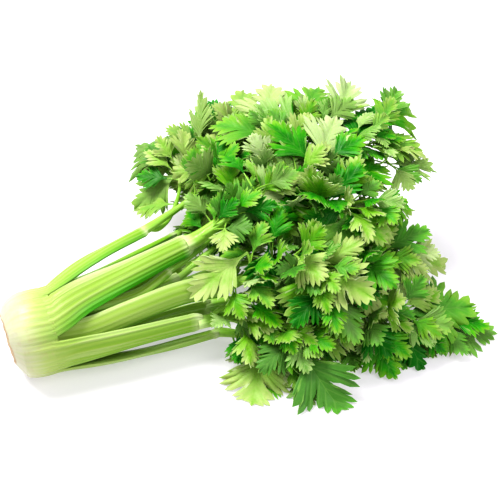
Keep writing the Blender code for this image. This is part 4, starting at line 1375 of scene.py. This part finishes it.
leaf_top = leaf_finish("leaf_top", GREENS, VEIN_GREEN, 0.26, 0.42, -0.3)
leaf_under = leaf_finish("leaf_underside", PALE_GREENS, UNDER_VEIN_GREEN, 0.40, 0.50, 0.6)
stem_skin = stem_finish("leaf_stem")
stalk_skin = flesh_finish("ribbed_stalk", False)
butt_skin = flesh_finish("cut_butt", True)

layout = Layout()
piece("butt_bulb", butt_bulb(), [butt_skin], "butt")
for name in NAMES:
    shape = heart_stalk() if name == "heart" else ribbed_stalk(name)
    piece(f"ribbed_stalk_{name}", shape, [stalk_skin], f"stalk_{name}")
    piece(f"leafy_spray_{name}", leafy_spray(name, layout), [leaf_top, leaf_under, stem_skin],
          f"foliage_{name}")


# Stage, lights and camera

TABLE_HALF = 6.0
TABLE_COLOUR = (0.52, 0.50, 0.54, 1.0)
TABLE_GLOW_COLOUR = (1.0, 0.985, 1.0, 1.0)
TABLE_GLOW = 0.34
ROOM_LIGHT = 0.46
KEY_PLACE = (-0.60, 0.70, 2.20)
KEY_AIM = (0.2, 0.0, 0.05)
KEY_SIZE = 1.1
KEY_POWER = 56.0
KEY_COLOUR = (1.0, 0.99, 0.97)
FILL_PLACE = (0.9, -0.9, 1.3)
FILL_AIM = (0.3, 0.0, 0.05)
FILL_SIZE = 0.9
FILL_POWER = 8.0
FILL_COLOUR = (1.0, 1.0, 1.0)
# The camera: its lens in millimetres, the degrees that it is turned and raised by, and its place
CAMERA_LENS = 70
CAMERA_TURN = -18
CAMERA_RISE = 40
CAMERA_PLACE = (-0.0138, -0.7249, 0.7341)


def white_table():
    bm = bmesh.new()
    bmesh.ops.create_grid(bm, x_segments=1, y_segments=1, size=TABLE_HALF)
    made, mesh = add_mesh("table_top", bm)
    finish, _, shader = nodes_of("white_table")
    shader.inputs["Base Color"].default_value = TABLE_COLOUR
    shader.inputs["Roughness"].default_value = 0.8
    shader.inputs["Specular IOR Level"].default_value = 0.1
    shader.inputs["Emission Color"].default_value = TABLE_GLOW_COLOUR
    shader.inputs["Emission Strength"].default_value = TABLE_GLOW
    mesh.materials.append(finish)


def soft_light(name, place, aim, size, power, colour):
    lamp = bpy.data.lights.new(name, "AREA")
    lamp.shape = "DISK"
    lamp.size = size
    lamp.energy = power
    lamp.color = colour
    made = add_object(name, lamp)
    made.location = place
    made.rotation_mode = "QUATERNION"
    made.rotation_quaternion = (Vector(aim) - Vector(place)).to_track_quat("-Z", "Y")


def camera():
    lens = bpy.data.cameras.new("camera")
    lens.lens = CAMERA_LENS
    lens.sensor_width = 36
    made = add_object("camera", lens)
    turn, rise = math.radians(CAMERA_TURN), math.radians(CAMERA_RISE)
    back = Vector((math.sin(turn) * math.cos(rise), -math.cos(turn) * math.cos(rise), math.sin(rise)))
    made.location = CAMERA_PLACE
    made.rotation_mode = "QUATERNION"
    made.rotation_quaternion = (-back).to_track_quat("-Z", "Y")
    bpy.context.scene.camera = made


white_table()
world = bpy.data.worlds.new("soft_room")
bpy.context.scene.world = world
world.use_nodes = True
sky = world.node_tree.nodes["Background"]
sky.inputs["Color"].default_value = (1.0, 1.0, 1.0, 1.0)
sky.inputs["Strength"].default_value = ROOM_LIGHT
soft_light("key_light", KEY_PLACE, KEY_AIM, KEY_SIZE, KEY_POWER, KEY_COLOUR)
soft_light("fill_light", FILL_PLACE, FILL_AIM, FILL_SIZE, FILL_POWER, FILL_COLOUR)
camera()
bpy.context.scene.view_settings.view_transform = "Standard"
bpy.context.scene.view_settings.look = "High Contrast"
